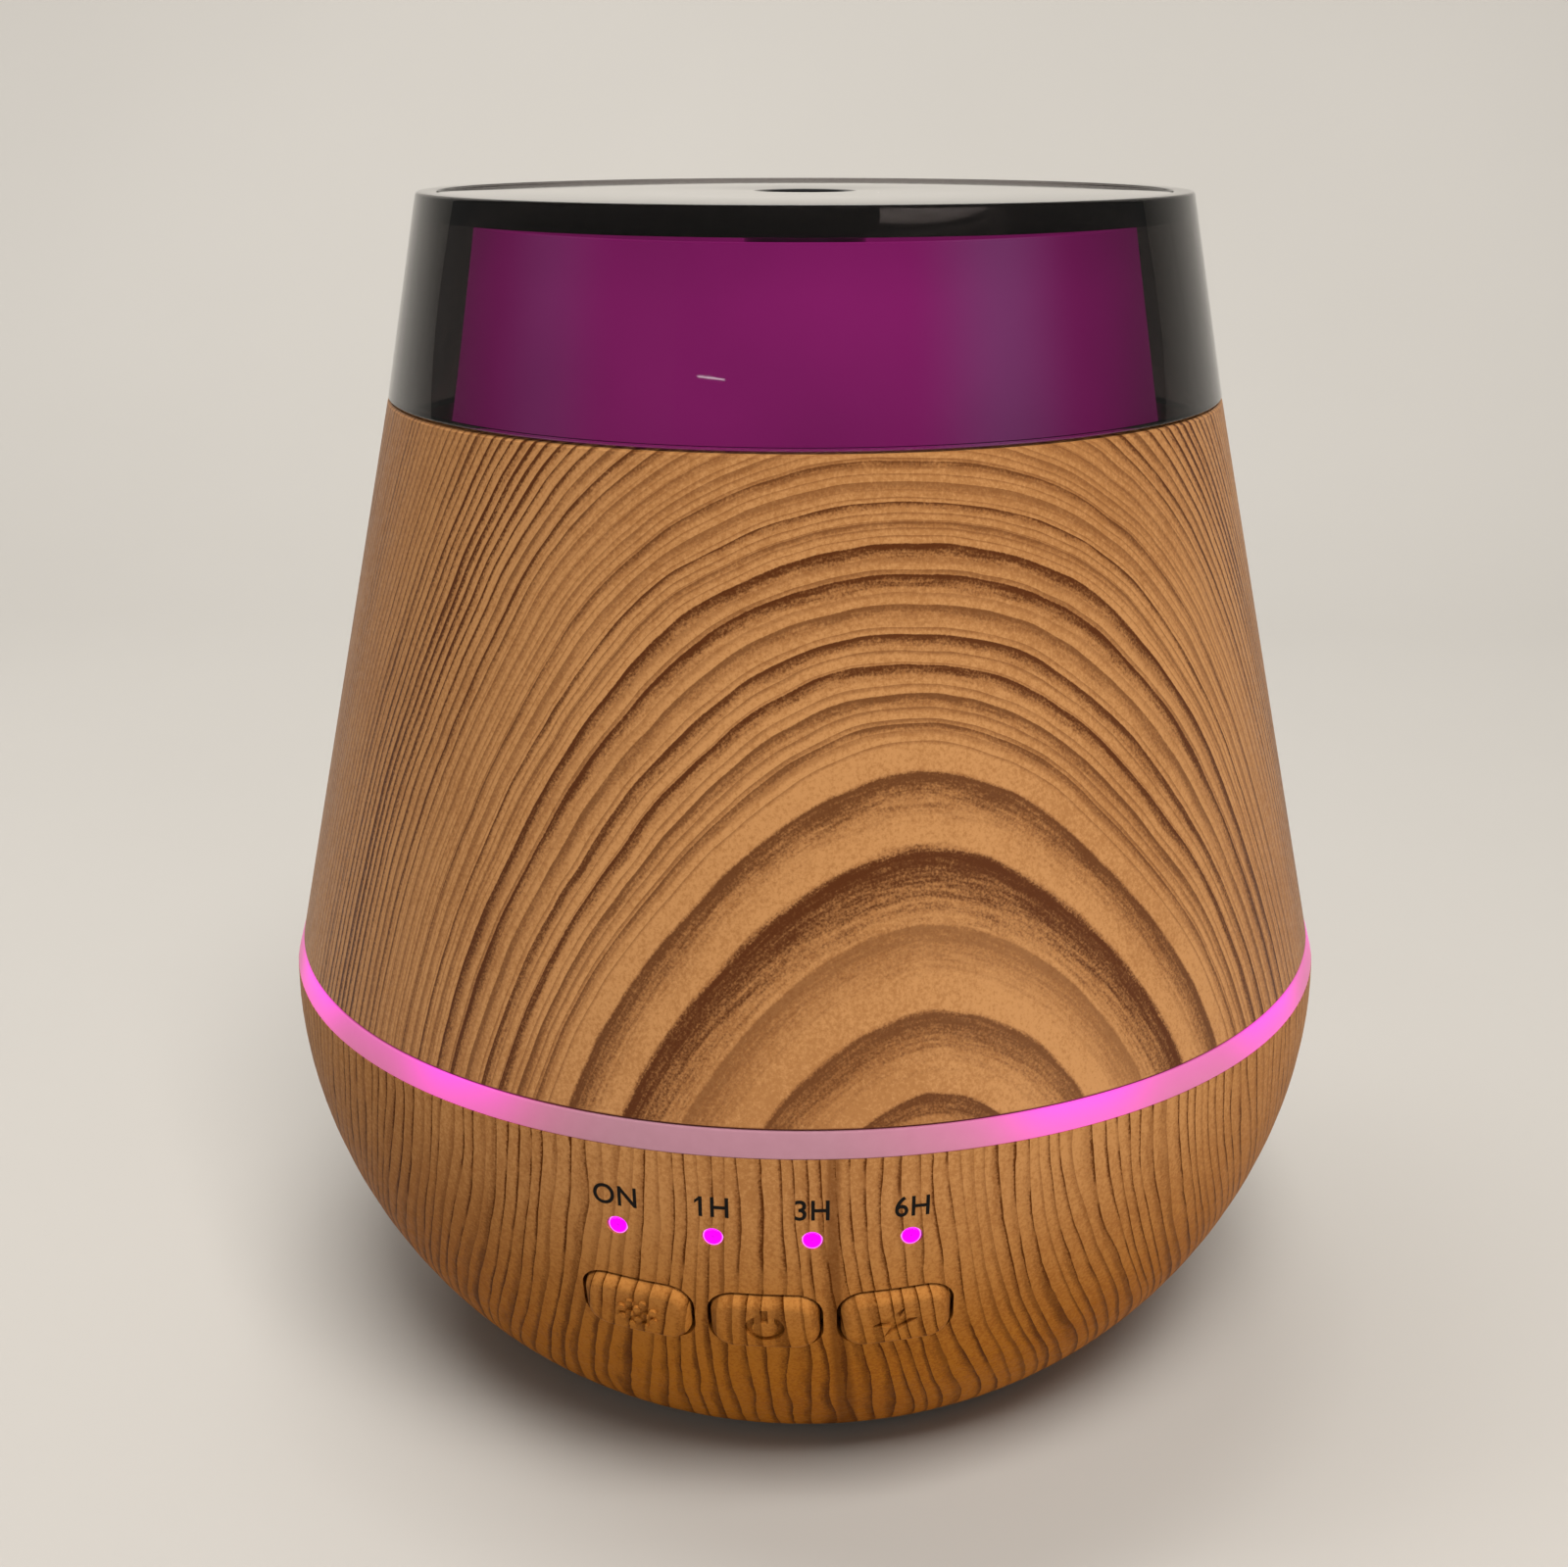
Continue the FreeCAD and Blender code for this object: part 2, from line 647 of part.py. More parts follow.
def water_tank():
    """One moulding: basin, flange, sump, chimney seat, and pillars down to the bottom plate."""
    rooted = TANK_FLOOR_Z + PAST
    parts = [tank_shell(), rod(SUMP_R, SUMP_LOW_Z, rooted)]
    parts.append(rod(CHIMNEY_SEAT_R, TANK_FLOOR_Z, CHIMNEY_SEAT_Z, 0, CHIMNEY_Y))
    for x, y in pillar_places():
        parts.append(rod(PILLAR_R, PILLAR_LOW_Z, rooted, x, y))
    for x, y in ear_places():
        parts.append(rod(EAR_R, SUMP_LOW_Z, rooted, x, y))
    inner_r = TANK_RIM_R - TANK_WALL
    mark_top = FILL_MARK_Z + FILL_MARK_SIZE
    parts.append(tube(inner_r + TANK_WALL / 2, inner_r - FILL_MARK_SIZE, FILL_MARK_Z, mark_top))
    tools = [
        rod(SUMP_HOLE_R, SUMP_LOW_Z - PAST, TANK_FLOOR_Z + 2 * TANK_FLOOR_THICKNESS),
        rod(SEAL_POCKET_R, SUMP_LOW_Z - PAST, SEAL_Z[1]),
        rod(CHIMNEY_R[1] + FIT_GAP, TANK_FLOOR_Z - PAST, CHIMNEY_SEAT_Z + PAST, 0, CHIMNEY_Y),
    ]
    for x, y in pillar_places():
        tools.append(rod(SHANK_HOLE_R, PILLAR_LOW_Z - PAST, SCREW_SEAT_Z + CASE_SCREW_LENGTH + PAST, x, y))
    for x, y in ear_places():
        tools.append(rod(SHANK_HOLE_R, SUMP_LOW_Z - PAST, SUMP_LOW_Z + CLAMP_SCREW_LENGTH - PAST, x, y))
    return joined(parts).cut(tools)


def air_chimney():
    """The tube that carries the fan's air up past the water; its flange is welded to the floor."""
    flange_top = CHIMNEY_SEAT_Z + CHIMNEY_FLANGE_THICKNESS
    outside = rod(CHIMNEY_R[1], CHIMNEY_LOW_Z, CHIMNEY_TOP_Z, 0, CHIMNEY_Y)
    flange = rod(CHIMNEY_FLANGE_R, CHIMNEY_SEAT_Z, flange_top, 0, CHIMNEY_Y)
    bore = rod(CHIMNEY_R[0], CHIMNEY_LOW_Z - PAST, CHIMNEY_TOP_Z + PAST, 0, CHIMNEY_Y)
    return outside.fuse(flange).cut(bore)


def transducer_disc():
    return rod(DISC_R, DISC_Z, DISC_Z + DISC_THICKNESS)


def transducer_seal():
    return tube(SEAL_R[1], SEAL_R[0], SEAL_Z[0], SEAL_Z[1]).cut(transducer_disc())


def transducer_clamp():
    low = SUMP_LOW_Z - CLAMP_THICKNESS
    parts = [rod(CLAMP_R, low, SUMP_LOW_Z)]
    tools = [rod(CLAMP_BORE_R, low, SUMP_LOW_Z)]
    for x, y in ear_places():
        parts.append(rod(EAR_R, low, SUMP_LOW_Z, x, y))
        tools.append(rod(SHANK_HOLE_R, low, SUMP_LOW_Z, x, y))
    return joined(parts).cut(tools)


def clamp_screws():
    seat = SUMP_LOW_Z - CLAMP_THICKNESS
    return Part.makeCompound([screw(x, y, seat, CLAMP_SCREW_LENGTH, False) for x, y in ear_places()])


# ======== lid and cover

def inner_lid():
    shoulder_top = LID_SHOULDER_Z + LID_SHOULDER_THICKNESS
    wall_foot_r = lid_r(shoulder_top)
    web_top = LID_WEB_Z + LID_WEB_THICKNESS
    return turned([
        (LID_SKIRT_R[0], LID_SKIRT_LOW_Z), (LID_SKIRT_R[1], LID_SKIRT_LOW_Z),
        (LID_SKIRT_R[1], LID_SHOULDER_Z), (TANK_RIM_R, LID_SHOULDER_Z), (TANK_RIM_R, shoulder_top),
        (wall_foot_r, shoulder_top), (LID_TOP_R, LID_TOP_Z), (LID_TOP_R - LID_WALL, LID_TOP_Z),
        (lid_r(web_top) - LID_WALL, web_top), (SPOUT_R[1], web_top), (SPOUT_R[1], SPOUT_TOP_Z),
        (SPOUT_R[0], SPOUT_TOP_Z), (SPOUT_R[0], LID_WEB_Z),
        (lid_r(LID_WEB_Z) - LID_WALL, LID_WEB_Z), (wall_foot_r - LID_WALL, LID_SHOULDER_Z),
    ])


def cone_cover():
    """The cone, open at both ends, with a shelf inside near its top for the cap's tongue."""
    foot, top = RING_TOP_Z, CONE_TOP_Z - SEAM / 2
    shelf_low, shelf_top = CONE_SHELF_Z
    return turned([
        (cone_r(foot) - CONE_WALL, foot), (cone_r(foot) - CONE_EDGE, foot),
        (cone_r(foot + SEAM), foot + SEAM), (cone_r(top - SEAM), top - SEAM),
        (cone_r(top) - CONE_EDGE, top), (cone_r(top) - CONE_WALL, top),
        (cone_r(shelf_top) - CONE_WALL, shelf_top), (CONE_SHELF_R, shelf_top),
        (CONE_SHELF_R, shelf_low), (cone_r(shelf_low) - CONE_WALL, shelf_low),
    ])


def smoke_cap():
    low = CONE_TOP_Z + SEAM / 2
    edge_z = CAP_TOP_Z - CAP_EDGE
    return turned([
        (CAP_TONGUE_R[0], CAP_TONGUE_LOW_Z), (CAP_TONGUE_R[1], CAP_TONGUE_LOW_Z),
        (CAP_TONGUE_R[1], low), (cap_r(low), low), (cap_r(edge_z), edge_z),
        (CAP_TOP_R - CAP_EDGE, CAP_TOP_Z), (CAP_POCKET_R, CAP_TOP_Z),
        (CAP_POCKET_R, TOP_PLATE_LOW_Z), (CAP_LEDGE_R, TOP_PLATE_LOW_Z),
        (CAP_FOOT_INNER_R, low), (CAP_TONGUE_R[0], low - CAP_TONGUE_STEP),
    ])


def top_plate():
    edge_z = TOP_PLATE_TOP_Z - TOP_PLATE_EDGE
    return turned([
        (MIST_HOLE_R, MIST_COLLAR_LOW_Z), (MIST_COLLAR_R, MIST_COLLAR_LOW_Z),
        (MIST_COLLAR_R, TOP_PLATE_LOW_Z), (TOP_PLATE_R, TOP_PLATE_LOW_Z), (TOP_PLATE_R, edge_z),
        (TOP_PLATE_R - TOP_PLATE_EDGE, TOP_PLATE_TOP_Z),
        (MIST_HOLE_R + TOP_PLATE_EDGE, TOP_PLATE_TOP_Z), (MIST_HOLE_R, edge_z),
    ])


# ======== fan and duct

def fan_housing():
    low, high = FAN_Z
    frame = round_uprights(centred_block(FAN_SIDE, FAN_SIDE, low, high, 0, FAN_Y), FAN_CORNER_R)
    frame = frame.cut(rod(FAN_BORE_R, low, high, 0, FAN_Y))
    back = low + FAN_BACK_THICKNESS
    parts = [frame, rod(FAN_HUB_R, low, back, 0, FAN_Y)]
    parts.append(rod(BUSH_HOUSING_R, low, BUSH_TOP_Z, 0, FAN_Y))
    for angle in (45, 135):
        strut = centred_block(2 * (FAN_BORE_R + PAST), FAN_STRUT_WIDTH, low, back)
        strut.rotate(Vector(0, 0, 0), Vector(0, 0, 1), angle)
        strut.translate(Vector(0, FAN_Y, 0))
        parts.append(strut)
    tools = [rod(BUSH_R, BUSH_LOW_Z, BUSH_TOP_Z, 0, FAN_Y)]
    for x, y in fan_corners():
        tools.append(rod(FAN_HOLE_R, low, high, x, y))
    return joined(parts).cut(tools)


def fan_bearing():
    bore = rod(SHAFT_R + SHAFT_CLEARANCE, BUSH_LOW_Z + BUSH_FLOOR, BUSH_TOP_Z, 0, FAN_Y)
    return rod(BUSH_R, BUSH_LOW_Z, BUSH_TOP_Z, 0, FAN_Y).cut(bore)


def fan_blades(low, high):
    """Flat pitched blades, trimmed to the rotor's radius and rooted a little inside its hub."""
    span = tube(ROTOR_R, ROTOR_HUB_R - SEAM, low, high)
    reach = ROTOR_R + 2 * PAST - ROTOR_HUB_R / 2
    blades = []
    for index in range(BLADE_COUNT):
        blade = centred_block(reach, BLADE_CHORD, -BLADE_THICKNESS / 2, BLADE_THICKNESS / 2)
        blade.translate(Vector((ROTOR_HUB_R + ROTOR_R) / 2, 0, 0))
        blade.rotate(Vector(0, 0, 0), Vector(1, 0, 0), BLADE_PITCH)
        blade.translate(Vector(0, 0, (low + high) / 2))
        blade.rotate(Vector(0, 0, 0), Vector(0, 0, 1), index * 360.0 / BLADE_COUNT)
        blades.append(blade.common(span))
    return blades


def fan_rotor():
    low, high = ROTOR_Z
    cup = rod(ROTOR_HUB_R, low, high).cut(rod(ROTOR_HUB_R - ROTOR_SHELL, low, high - ROTOR_SHELL))
    rotor = cup.fuse(fan_blades(low, high - SEAM))
    rotor = rotor.cut(rod(SHAFT_R, low, high - ROTOR_SHELL / 2))
    rotor.translate(Vector(0, FAN_Y, 0))
    return rotor


def fan_shaft():
    return rod(SHAFT_R, BUSH_LOW_Z + BUSH_FLOOR + MOVING_GAP, ROTOR_Z[1] - ROTOR_SHELL / 2, 0, FAN_Y)


def fan_magnet():
    outer = ROTOR_HUB_R - ROTOR_SHELL
    low, high = ROTOR_Z[0] + SEAM, ROTOR_Z[1] - ROTOR_SHELL - SEAM
    return tube(outer, outer - MAGNET_THICKNESS, low, high, 0, FAN_Y)


def fan_screws():
    seat = FAN_Z[1] + DUCT_PLATE_THICKNESS
    return Part.makeCompound([screw(x, y, seat, FAN_SCREW_LENGTH, True) for x, y in fan_corners()])


def duct_solid(grow, low, neck, top):
    """The duct's outline: a funnel from the fan to the neck, then a straight collar."""
    start = Part.Wire(Part.makeCircle(FAN_BORE_R - DUCT_WALL + grow, Vector(0, FAN_Y, low)))
    collar_r = CHIMNEY_R[1] + 2 * FIT_GAP + grow
    end = Part.Wire(Part.makeCircle(collar_r, Vector(0, CHIMNEY_Y, neck)))
    funnel = Part.makeLoft([start, end], True, True)
    return funnel.fuse(rod(collar_r, neck, top, 0, CHIMNEY_Y))


def air_duct():
    low, seat = FAN_Z[1], FAN_Z[1] + DUCT_PLATE_THICKNESS
    plate = round_uprights(centred_block(FAN_SIDE, FAN_SIDE, low, seat, 0, FAN_Y), FAN_CORNER_R)
    outer = duct_solid(DUCT_WALL, low, DUCT_NECK_Z, DUCT_TOP_Z)
    tools = [duct_solid(0.0, low, DUCT_NECK_Z, DUCT_TOP_Z)]
    for x, y in fan_corners():
        tools.append(rod(FAN_HOLE_R, low, seat, x, y))
        tools.append(rod(HEAD_R + SEAM, seat, seat + 2 * HEAD_HEIGHT, x, y))
    return plate.fuse(outer).cut(tools).removeSplitter()


# ======== electronics

def on_driver(low, high):
    """A block on the driver board, from two corners measured from the centre of its top."""
    lift = Vector(0, DRIVER_Y, DRIVER_Z + BOARD_THICKNESS)
    return block(Vector(*low) + lift, Vector(*high) + lift)


def driver_board():
    width, depth = DRIVER_SIZE
    top = DRIVER_Z + BOARD_THICKNESS
    board = centred_block(width, depth, DRIVER_Z, top, 0, DRIVER_Y)
    return board.cut([rod(SHANK_HOLE_R, DRIVER_Z, top, x, y) for x, y in driver_corners()])


def driver_board_screws():
    seat = DRIVER_Z + BOARD_THICKNESS
    screws = [screw(x, y, seat, DRIVER_SCREW_LENGTH, True) for x, y in driver_corners()]
    return Part.makeCompound(screws)


def filter_capacitor():
    low = DRIVER_Z + BOARD_THICKNESS
    high = low + CAPACITOR_HEIGHT
    x, y = CAPACITOR_PLACE[0], DRIVER_Y + CAPACITOR_PLACE[1]
    groove = [low + rise for rise in CAPACITOR_GROOVE]
    can = rod(CAPACITOR_R, low, high, x, y)
    can = can.cut(tube(CAPACITOR_R + PAST, CAPACITOR_R - SEAM, groove[0], groove[1], x, y))
    return can.makeFillet(2 * SEAM, [e for e in can.Edges if e.BoundBox.ZMin > high - SEAM])


def drive_inductor():
    low = DRIVER_Z + BOARD_THICKNESS
    high = low + INDUCTOR_HEIGHT
    x, y = INDUCTOR_PLACE[0], DRIVER_Y + INDUCTOR_PLACE[1]
    return joined([
        rod(INDUCTOR_R, low, low + INDUCTOR_FLANGE, x, y),
        rod(INDUCTOR_CORE_R, low, high, x, y),
        rod(INDUCTOR_R, high - INDUCTOR_FLANGE, high, x, y),
    ])


def heat_sink():
    back, face, tip = SINK_Y
    parts = [on_driver((SINK_X[0], back, 0), (SINK_X[1], face, SINK_HEIGHT))]
    pitch = (SINK_X[1] - SINK_X[0] - FIN_THICKNESS) / (FIN_COUNT - 1)
    for index in range(FIN_COUNT):
        x = SINK_X[0] + index * pitch
        parts.append(on_driver((x, face - SEAM, 0), (x + FIN_THICKNESS, tip, SINK_HEIGHT)))
    return joined(parts)


def drive_transistor():
    low, high = TRANSISTOR_Z
    parts = [on_driver((TRANSISTOR_X[0], TRANSISTOR_Y[0], low), (TRANSISTOR_X[1], TRANSISTOR_Y[1], high))]
    width, depth = TRANSISTOR_LEG_SIZE
    for x in TRANSISTOR_LEG_XS:
        parts.append(on_driver((x, 0, 0), (x + width, depth, low + SEAM)))
    return joined(parts)


def controller_chip():
    x, y = CHIP_PLACE[0], DRIVER_Y + CHIP_PLACE[1]
    top = DRIVER_Z + BOARD_THICKNESS
    low = top + CHIP_STANDOFF
    parts = [centred_block(CHIP_BODY[0], CHIP_BODY[1], low, low + CHIP_BODY[2], x, y)]
    width, span, height = CHIP_LEAD_SIZE
    for index in range(CHIP_LEAD_COUNT):
        lead_x = x + (index - (CHIP_LEAD_COUNT - 1) / 2) * CHIP_LEAD_PITCH
        parts.append(centred_block(width, span, top, top + height, lead_x, y))
    return joined(parts)


def board_connectors():
    low = DRIVER_Z + BOARD_THICKNESS
    width, depth, height = CONNECTOR_SIZE
    y = DRIVER_Y + CONNECTOR_Y
    plugs = []
    for x in CONNECTOR_XS:
        shell = centred_block(width, depth, low, low + height, x, y)
        inner_width, inner_depth = width - 2 * CONNECTOR_WALL, depth - 2 * CONNECTOR_WALL
        hollow = centred_block(inner_width, inner_depth, low + CONNECTOR_FLOOR, low + height, x, y)
        plugs.append(shell.cut(hollow))
    return Part.makeCompound(plugs)


def dc_jack():
    """The socket's block, just behind the end of the plug recess."""
    width, depth, height = JACK_SIZE
    face = INLET_FACE_Y - JACK_SETBACK
    case = block((-width / 2, face - depth, INLET_Z - height / 2), (width / 2, face, INLET_Z + height / 2))
    socket = y_rod(JACK_SOCKET_R, face - JACK_SOCKET_DEPTH, face, 0, INLET_Z)
    tail = y_rod(JACK_PIN_R, face - depth, face, 0, INLET_Z)
    return case.cut([socket, tail])


def dc_jack_pin():
    back = INLET_FACE_Y - JACK_SETBACK - JACK_SIZE[1]
    tip = back + JACK_SIZE[1] - JACK_SOCKET_DEPTH + JACK_PIN_LENGTH
    width, depth, height = JACK_TAG_SIZE
    tag = block((-width / 2, back - depth, INLET_Z - height / 2), (width / 2, back, INLET_Z + height / 2))
    return joined([y_rod(JACK_PIN_R, back, tip, 0, INLET_Z), tag])


# ======== control panel

def control_board():
    width, height = PANEL_BOARD_SIZE
    face = -PANEL_BOARD_DEPTH
    back = face - BOARD_THICKNESS
    sheet = block((-width / 2, PANEL_BOARD_LOW, back), (width / 2, PANEL_BOARD_LOW + height, face))
    holes = [rod(SHANK_HOLE_R, back, face, side * PANEL_SCREW_X, 0) for side in (-1, 1)]
    return on_panel(sheet.cut(holes)).common(bowl_body(BOWL_WALL + 2 * SEAM))


def panel_screws():
    seat = -PANEL_BOARD_DEPTH - BOARD_THICKNESS
    screws = [screw(side * PANEL_SCREW_X, 0, seat, PANEL_SCREW_LENGTH, False) for side in (-1, 1)]
    return Part.makeCompound([on_panel(shape) for shape in screws])


def tact_switches():
    low, high = -PANEL_BOARD_DEPTH, -PANEL_BOARD_DEPTH + SWITCH_HEIGHT
    switches = []
    for side in (-1, 0, 1):
        x = button_x(side)
        case = centred_block(SWITCH_SIDE, SWITCH_SIDE, low, high, x, 0)
        bore = rod(PLUNGER_R + FIT_GAP, high - PLUNGER_BORE_DEPTH, high, x, 0)
        switches.append(on_panel(case.cut(bore)))
    return Part.makeCompound(switches)


def switch_plunger(side):
    high = -PANEL_BOARD_DEPTH + SWITCH_HEIGHT + PLUNGER_PROUD
    return on_panel(rod(PLUNGER_R, high - PLUNGER_LENGTH, high, button_x(side), 0))


def front_face(shape):
    return max(shape.Faces, key=lambda face: panel_local(face.CenterOfMass).z)


def button_cap(side):
    """The rounded cap: flush sides, a face that follows the bowl, a soft edge all round."""
    prism = on_panel(rounded_prism(0.0, *WALL_SPAN, button_x(side)))
    cap = prism.common(bowl_body(-BUTTON_PROUD)).cut(bowl_body(BUTTON_INNER))
    return cap.makeFillet(BUTTON_EDGE, front_face(cap).Edges)


def button_back(side):
    """The retaining flange behind the wall and the stem that presses the switch."""
    x = button_x(side)
    flange = on_panel(rounded_prism(FLANGE_MARGIN, -PANEL_BOARD_DEPTH, WALL_SPAN[1], x))
    flange = flange.common(bowl_body(FLANGE_INSET[0])).cut(bowl_body(FLANGE_INSET[1]))
    tip = -PANEL_BOARD_DEPTH + SWITCH_HEIGHT + PLUNGER_PROUD + STEM_GAP
    stem = on_panel(rod(STEM_R, tip, 0, x, 0)).common(bowl_body(2 * ICON_DEPTH))
    return [flange, stem]


def engraving(tool):
    """The part of a prism between the button's face and the engraving's floor."""
    return on_panel(tool).common(bowl_body(-BUTTON_PROUD - PAST)).cut(bowl_body(ICON_DEPTH - BUTTON_PROUD))


def power_icon(x):
    """A ring open at its top, with an upright bar in the opening."""
    low, high = WALL_SPAN
    arc = tube(ICON_R, ICON_R - ICON_STROKE, low, high, x, BUTTON_SHIFT)
    arc = arc.cut(centred_block(ICON_GAP, 2 * ICON_R, low, high, x, BUTTON_SHIFT + ICON_R + ICON_STROKE))
    bar = centred_block(ICON_STROKE, ICON_R, low, high, x, BUTTON_SHIFT + ICON_R / 2 + ICON_STROKE)
    return engraving(joined([arc, bar]))


def bolt_icon(x):
    low, high = WALL_SPAN
    corners = [Vector(x + u, BUTTON_SHIFT + v, low) for u, v in BOLT_OUTLINE]
    face = Part.Face(Part.makePolygon(corners + corners[:1]))
    return engraving(face.extrude(Vector(0, 0, high - low)))


def flower_dots(x):
    """A ring of small raised dots round a smaller ring of them."""
    places = [on_circle(FLOWER_R, (index + 0.5) * 360 / OUTER_DOTS) for index in range(OUTER_DOTS)]
    places += [on_circle(FLOWER_R * 0.45, index * 360 / INNER_DOTS) for index in range(INNER_DOTS)]
    dots = []
    for u, v in places:
        dot = on_panel(rod(DOT_R, *WALL_SPAN, x + u, BUTTON_SHIFT + v))
        dots.append(dot.common(bowl_body(-BUTTON_PROUD - DOT_PROUD)).cut(bowl_body(BUTTON_PROUD)))
    return dots


def light_button():
    return joined([button_cap(-1)] + button_back(-1) + flower_dots(button_x(-1)))


def power_button():
    return joined([button_cap(0)] + button_back(0)).cut(power_icon(button_x(0)))


def mist_button():
    return joined([button_cap(1)] + button_back(1)).cut(bolt_icon(button_x(1)))


def light_guide():
    """A clear bar inside the wall, with one pin out through each indicator hole."""
    half = button_x(1) + GUIDE_BAR_MARGIN
    low, high = LED_Z - GUIDE_BAR_HEIGHT / 2, LED_Z + GUIDE_BAR_HEIGHT / 2
    bar = block((-half, GUIDE_BAR_Y[0], low), (half, GUIDE_BAR_Y[1], high))
    front = bowl_body(LED_RECESS)
    pins = [y_rod(LED_PIN_R, -BOWL_TOP_R, GUIDE_BACK_Y, x, LED_Z).common(front) for x, _ in led_places()]
    return joined([bar] + pins)


def indicator_leds():
    """One small lamp on the control board behind each pin of the light guide."""
    slope = bowl_point(BUTTON_Z)[1]
    up_the_board = (LED_Z - BUTTON_Z - PANEL_BOARD_DEPTH * math.sin(slope)) / math.cos(slope)
    low, high = -PANEL_BOARD_DEPTH, -PANEL_BOARD_DEPTH + LED_SIZE[2]
    lamps = []
    for x, _ in led_places():
        lamps.append(on_panel(centred_block(LED_SIZE[0], LED_SIZE[1], low, high, x, up_the_board)))
    return Part.makeCompound(lamps)


BUILDERS = [
    lower_bowl, bottom_plate, rubber_feet, case_screws, light_ring, mood_lamp_board, mood_lamps,
    water_tank, air_chimney, transducer_disc, transducer_seal, transducer_clamp, clamp_screws,
    inner_lid, cone_cover, smoke_cap, top_plate,
    fan_housing, fan_bearing, fan_rotor, fan_shaft, fan_magnet, fan_screws, air_duct,
    driver_board, driver_board_screws, filter_capacitor, drive_inductor, heat_sink, drive_transistor,
    controller_chip, board_connectors, dc_jack, dc_jack_pin,
    control_board, panel_screws, tact_switches, light_button, power_button, mist_button,
    light_guide, indicator_leds,
]


def main():
    os.makedirs("parts", exist_ok=True)
    for build in BUILDERS:
        write(build.__name__, build())
    for name, side in (("light", -1), ("power", 0), ("mist", 1)):
        write(name + "_switch_plunger", switch_plunger(side))


main()
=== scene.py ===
import bpy
import bmesh
import math
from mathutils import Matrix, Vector


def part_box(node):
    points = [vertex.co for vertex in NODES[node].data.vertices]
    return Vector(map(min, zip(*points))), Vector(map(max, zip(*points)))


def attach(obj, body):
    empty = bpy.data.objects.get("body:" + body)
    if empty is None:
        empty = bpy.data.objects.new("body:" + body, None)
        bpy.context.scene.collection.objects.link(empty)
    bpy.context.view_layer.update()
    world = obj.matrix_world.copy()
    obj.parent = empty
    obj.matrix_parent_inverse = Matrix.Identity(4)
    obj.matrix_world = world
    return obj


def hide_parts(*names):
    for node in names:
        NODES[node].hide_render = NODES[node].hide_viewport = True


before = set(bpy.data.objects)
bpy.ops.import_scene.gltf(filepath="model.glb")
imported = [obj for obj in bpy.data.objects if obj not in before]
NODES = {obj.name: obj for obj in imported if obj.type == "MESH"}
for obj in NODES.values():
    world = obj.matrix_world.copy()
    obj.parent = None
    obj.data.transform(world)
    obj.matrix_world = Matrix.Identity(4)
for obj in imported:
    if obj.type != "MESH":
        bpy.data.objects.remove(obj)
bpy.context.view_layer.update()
MM = 0.001

# ---- the camera stands close, a little to the right of the control panel
CAMERA_TURN = math.radians(3.9)
CAMERA_DISTANCE = 270.5 * MM
CAMERA_HEIGHT = 169.8 * MM
CAMERA_PITCH = math.radians(18.8)
CAMERA_LENS = 44.96
CAMERA_SHIFT = -0.0134

# ---- outline of the visible shells, read from the frame
RING_LOW_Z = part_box("lower_bowl")[1].z
RING_TOP_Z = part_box("cone_cover")[0].z
BOWL_RIM_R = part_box("light_ring")[1].x
CONE_TOP_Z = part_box("cone_cover")[1].z
CAP_TOP_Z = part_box("smoke_cap")[1].z
CAP_TONGUE_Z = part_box("smoke_cap")[0].z
PLATE_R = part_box("top_plate")[1].x
PLATE_TOP_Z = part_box("top_plate")[1].z
COLLAR_LOW_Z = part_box("top_plate")[0].z
PLATE_SEAT_Z = 157.0 * MM
CONE_FOOT_R = 72.5 * MM
CONE_TOP_R = 55.85 * MM
CONE_TOP_R_AT = 134.9 * MM
CAP_FOOT_R = 55.81 * MM
CAP_TOP_R = 50.7 * MM
CONE_WALL = 2.6 * MM
SEAM = 0.3 * MM
ROUND = 0.35 * MM

# ---- the panel: angles are turns about Z from the front
LED_STEP = 9.12
LED_ANGLES = [math.radians(LED_STEP * (index - 1.5)) for index in range(4)]
LED_Z = 46.6 * MM
LED_R = 1.2 * MM
LED_RECESS = 0.3 * MM
LED_DOME = 0.12 * MM
LED_DEPTH = 0.6 * MM
# the bowl's surface is read this far round from a lamp, clear of its hole
LED_PROBE = 0.03
LABELS = ("ON", "1H", "3H", "6H")
LABEL_Z = 49.55 * MM
LABEL_SIZE = 3.8 * MM
LABEL_NARROW = 0.93
LABEL_THICKNESS = 0.03 * MM
LABEL_WEIGHT = 0.04 * MM
LABEL_SPACING = 1.05
# how far a label stands off the bowl, as a share of its thickness
LABEL_LIFT = 0.3
# edges longer than this are cut up before a label is bent
LABEL_BEND = 0.5 * MM
# the slanted stroke at the head of the figure 1: its reach to the left, its drop and its width
FLAG_REACH = 0.62 * MM
FLAG_DROP = 0.52 * MM
FLAG_WIDTH = 0.42 * MM

# ---- painted reflections: soft pale bands up the inner lid; each has a turn and a half width in degrees, and a strength
LID_PAINTED_REFLECTIONS = ((34.0, 16.0, 0.85), (-38.0, 14.0, 0.45))
# the lid glows more between these heights, and less between these turns
LID_GLOW_Z = (126.0, 150.0)
LID_FADE = (25.0, 75.0)

# ---- the light ring: its lamps, and the unlit stretch at its front: the middle and the fade, in degrees
RING_LAMPS = 12
RING_DARK_TURN = -3.0
RING_DARK_FADE = (8.0, 32.0)

# ---- how fast the smoke plastic takes up light, per metre
SMOKE_DENSITY = 430.0

# ---- printed wood, in millimetres and turns about Z
ARCH_TURN = math.radians(15.0)
ARCH_FOOT_Z = 55.0
ARCH_R = 72.5
# sideways distance counts as ARCH_STRETCH x distance ^ ARCH_CROWDING
ARCH_STRETCH = 0.415
ARCH_CROWDING = 1.24
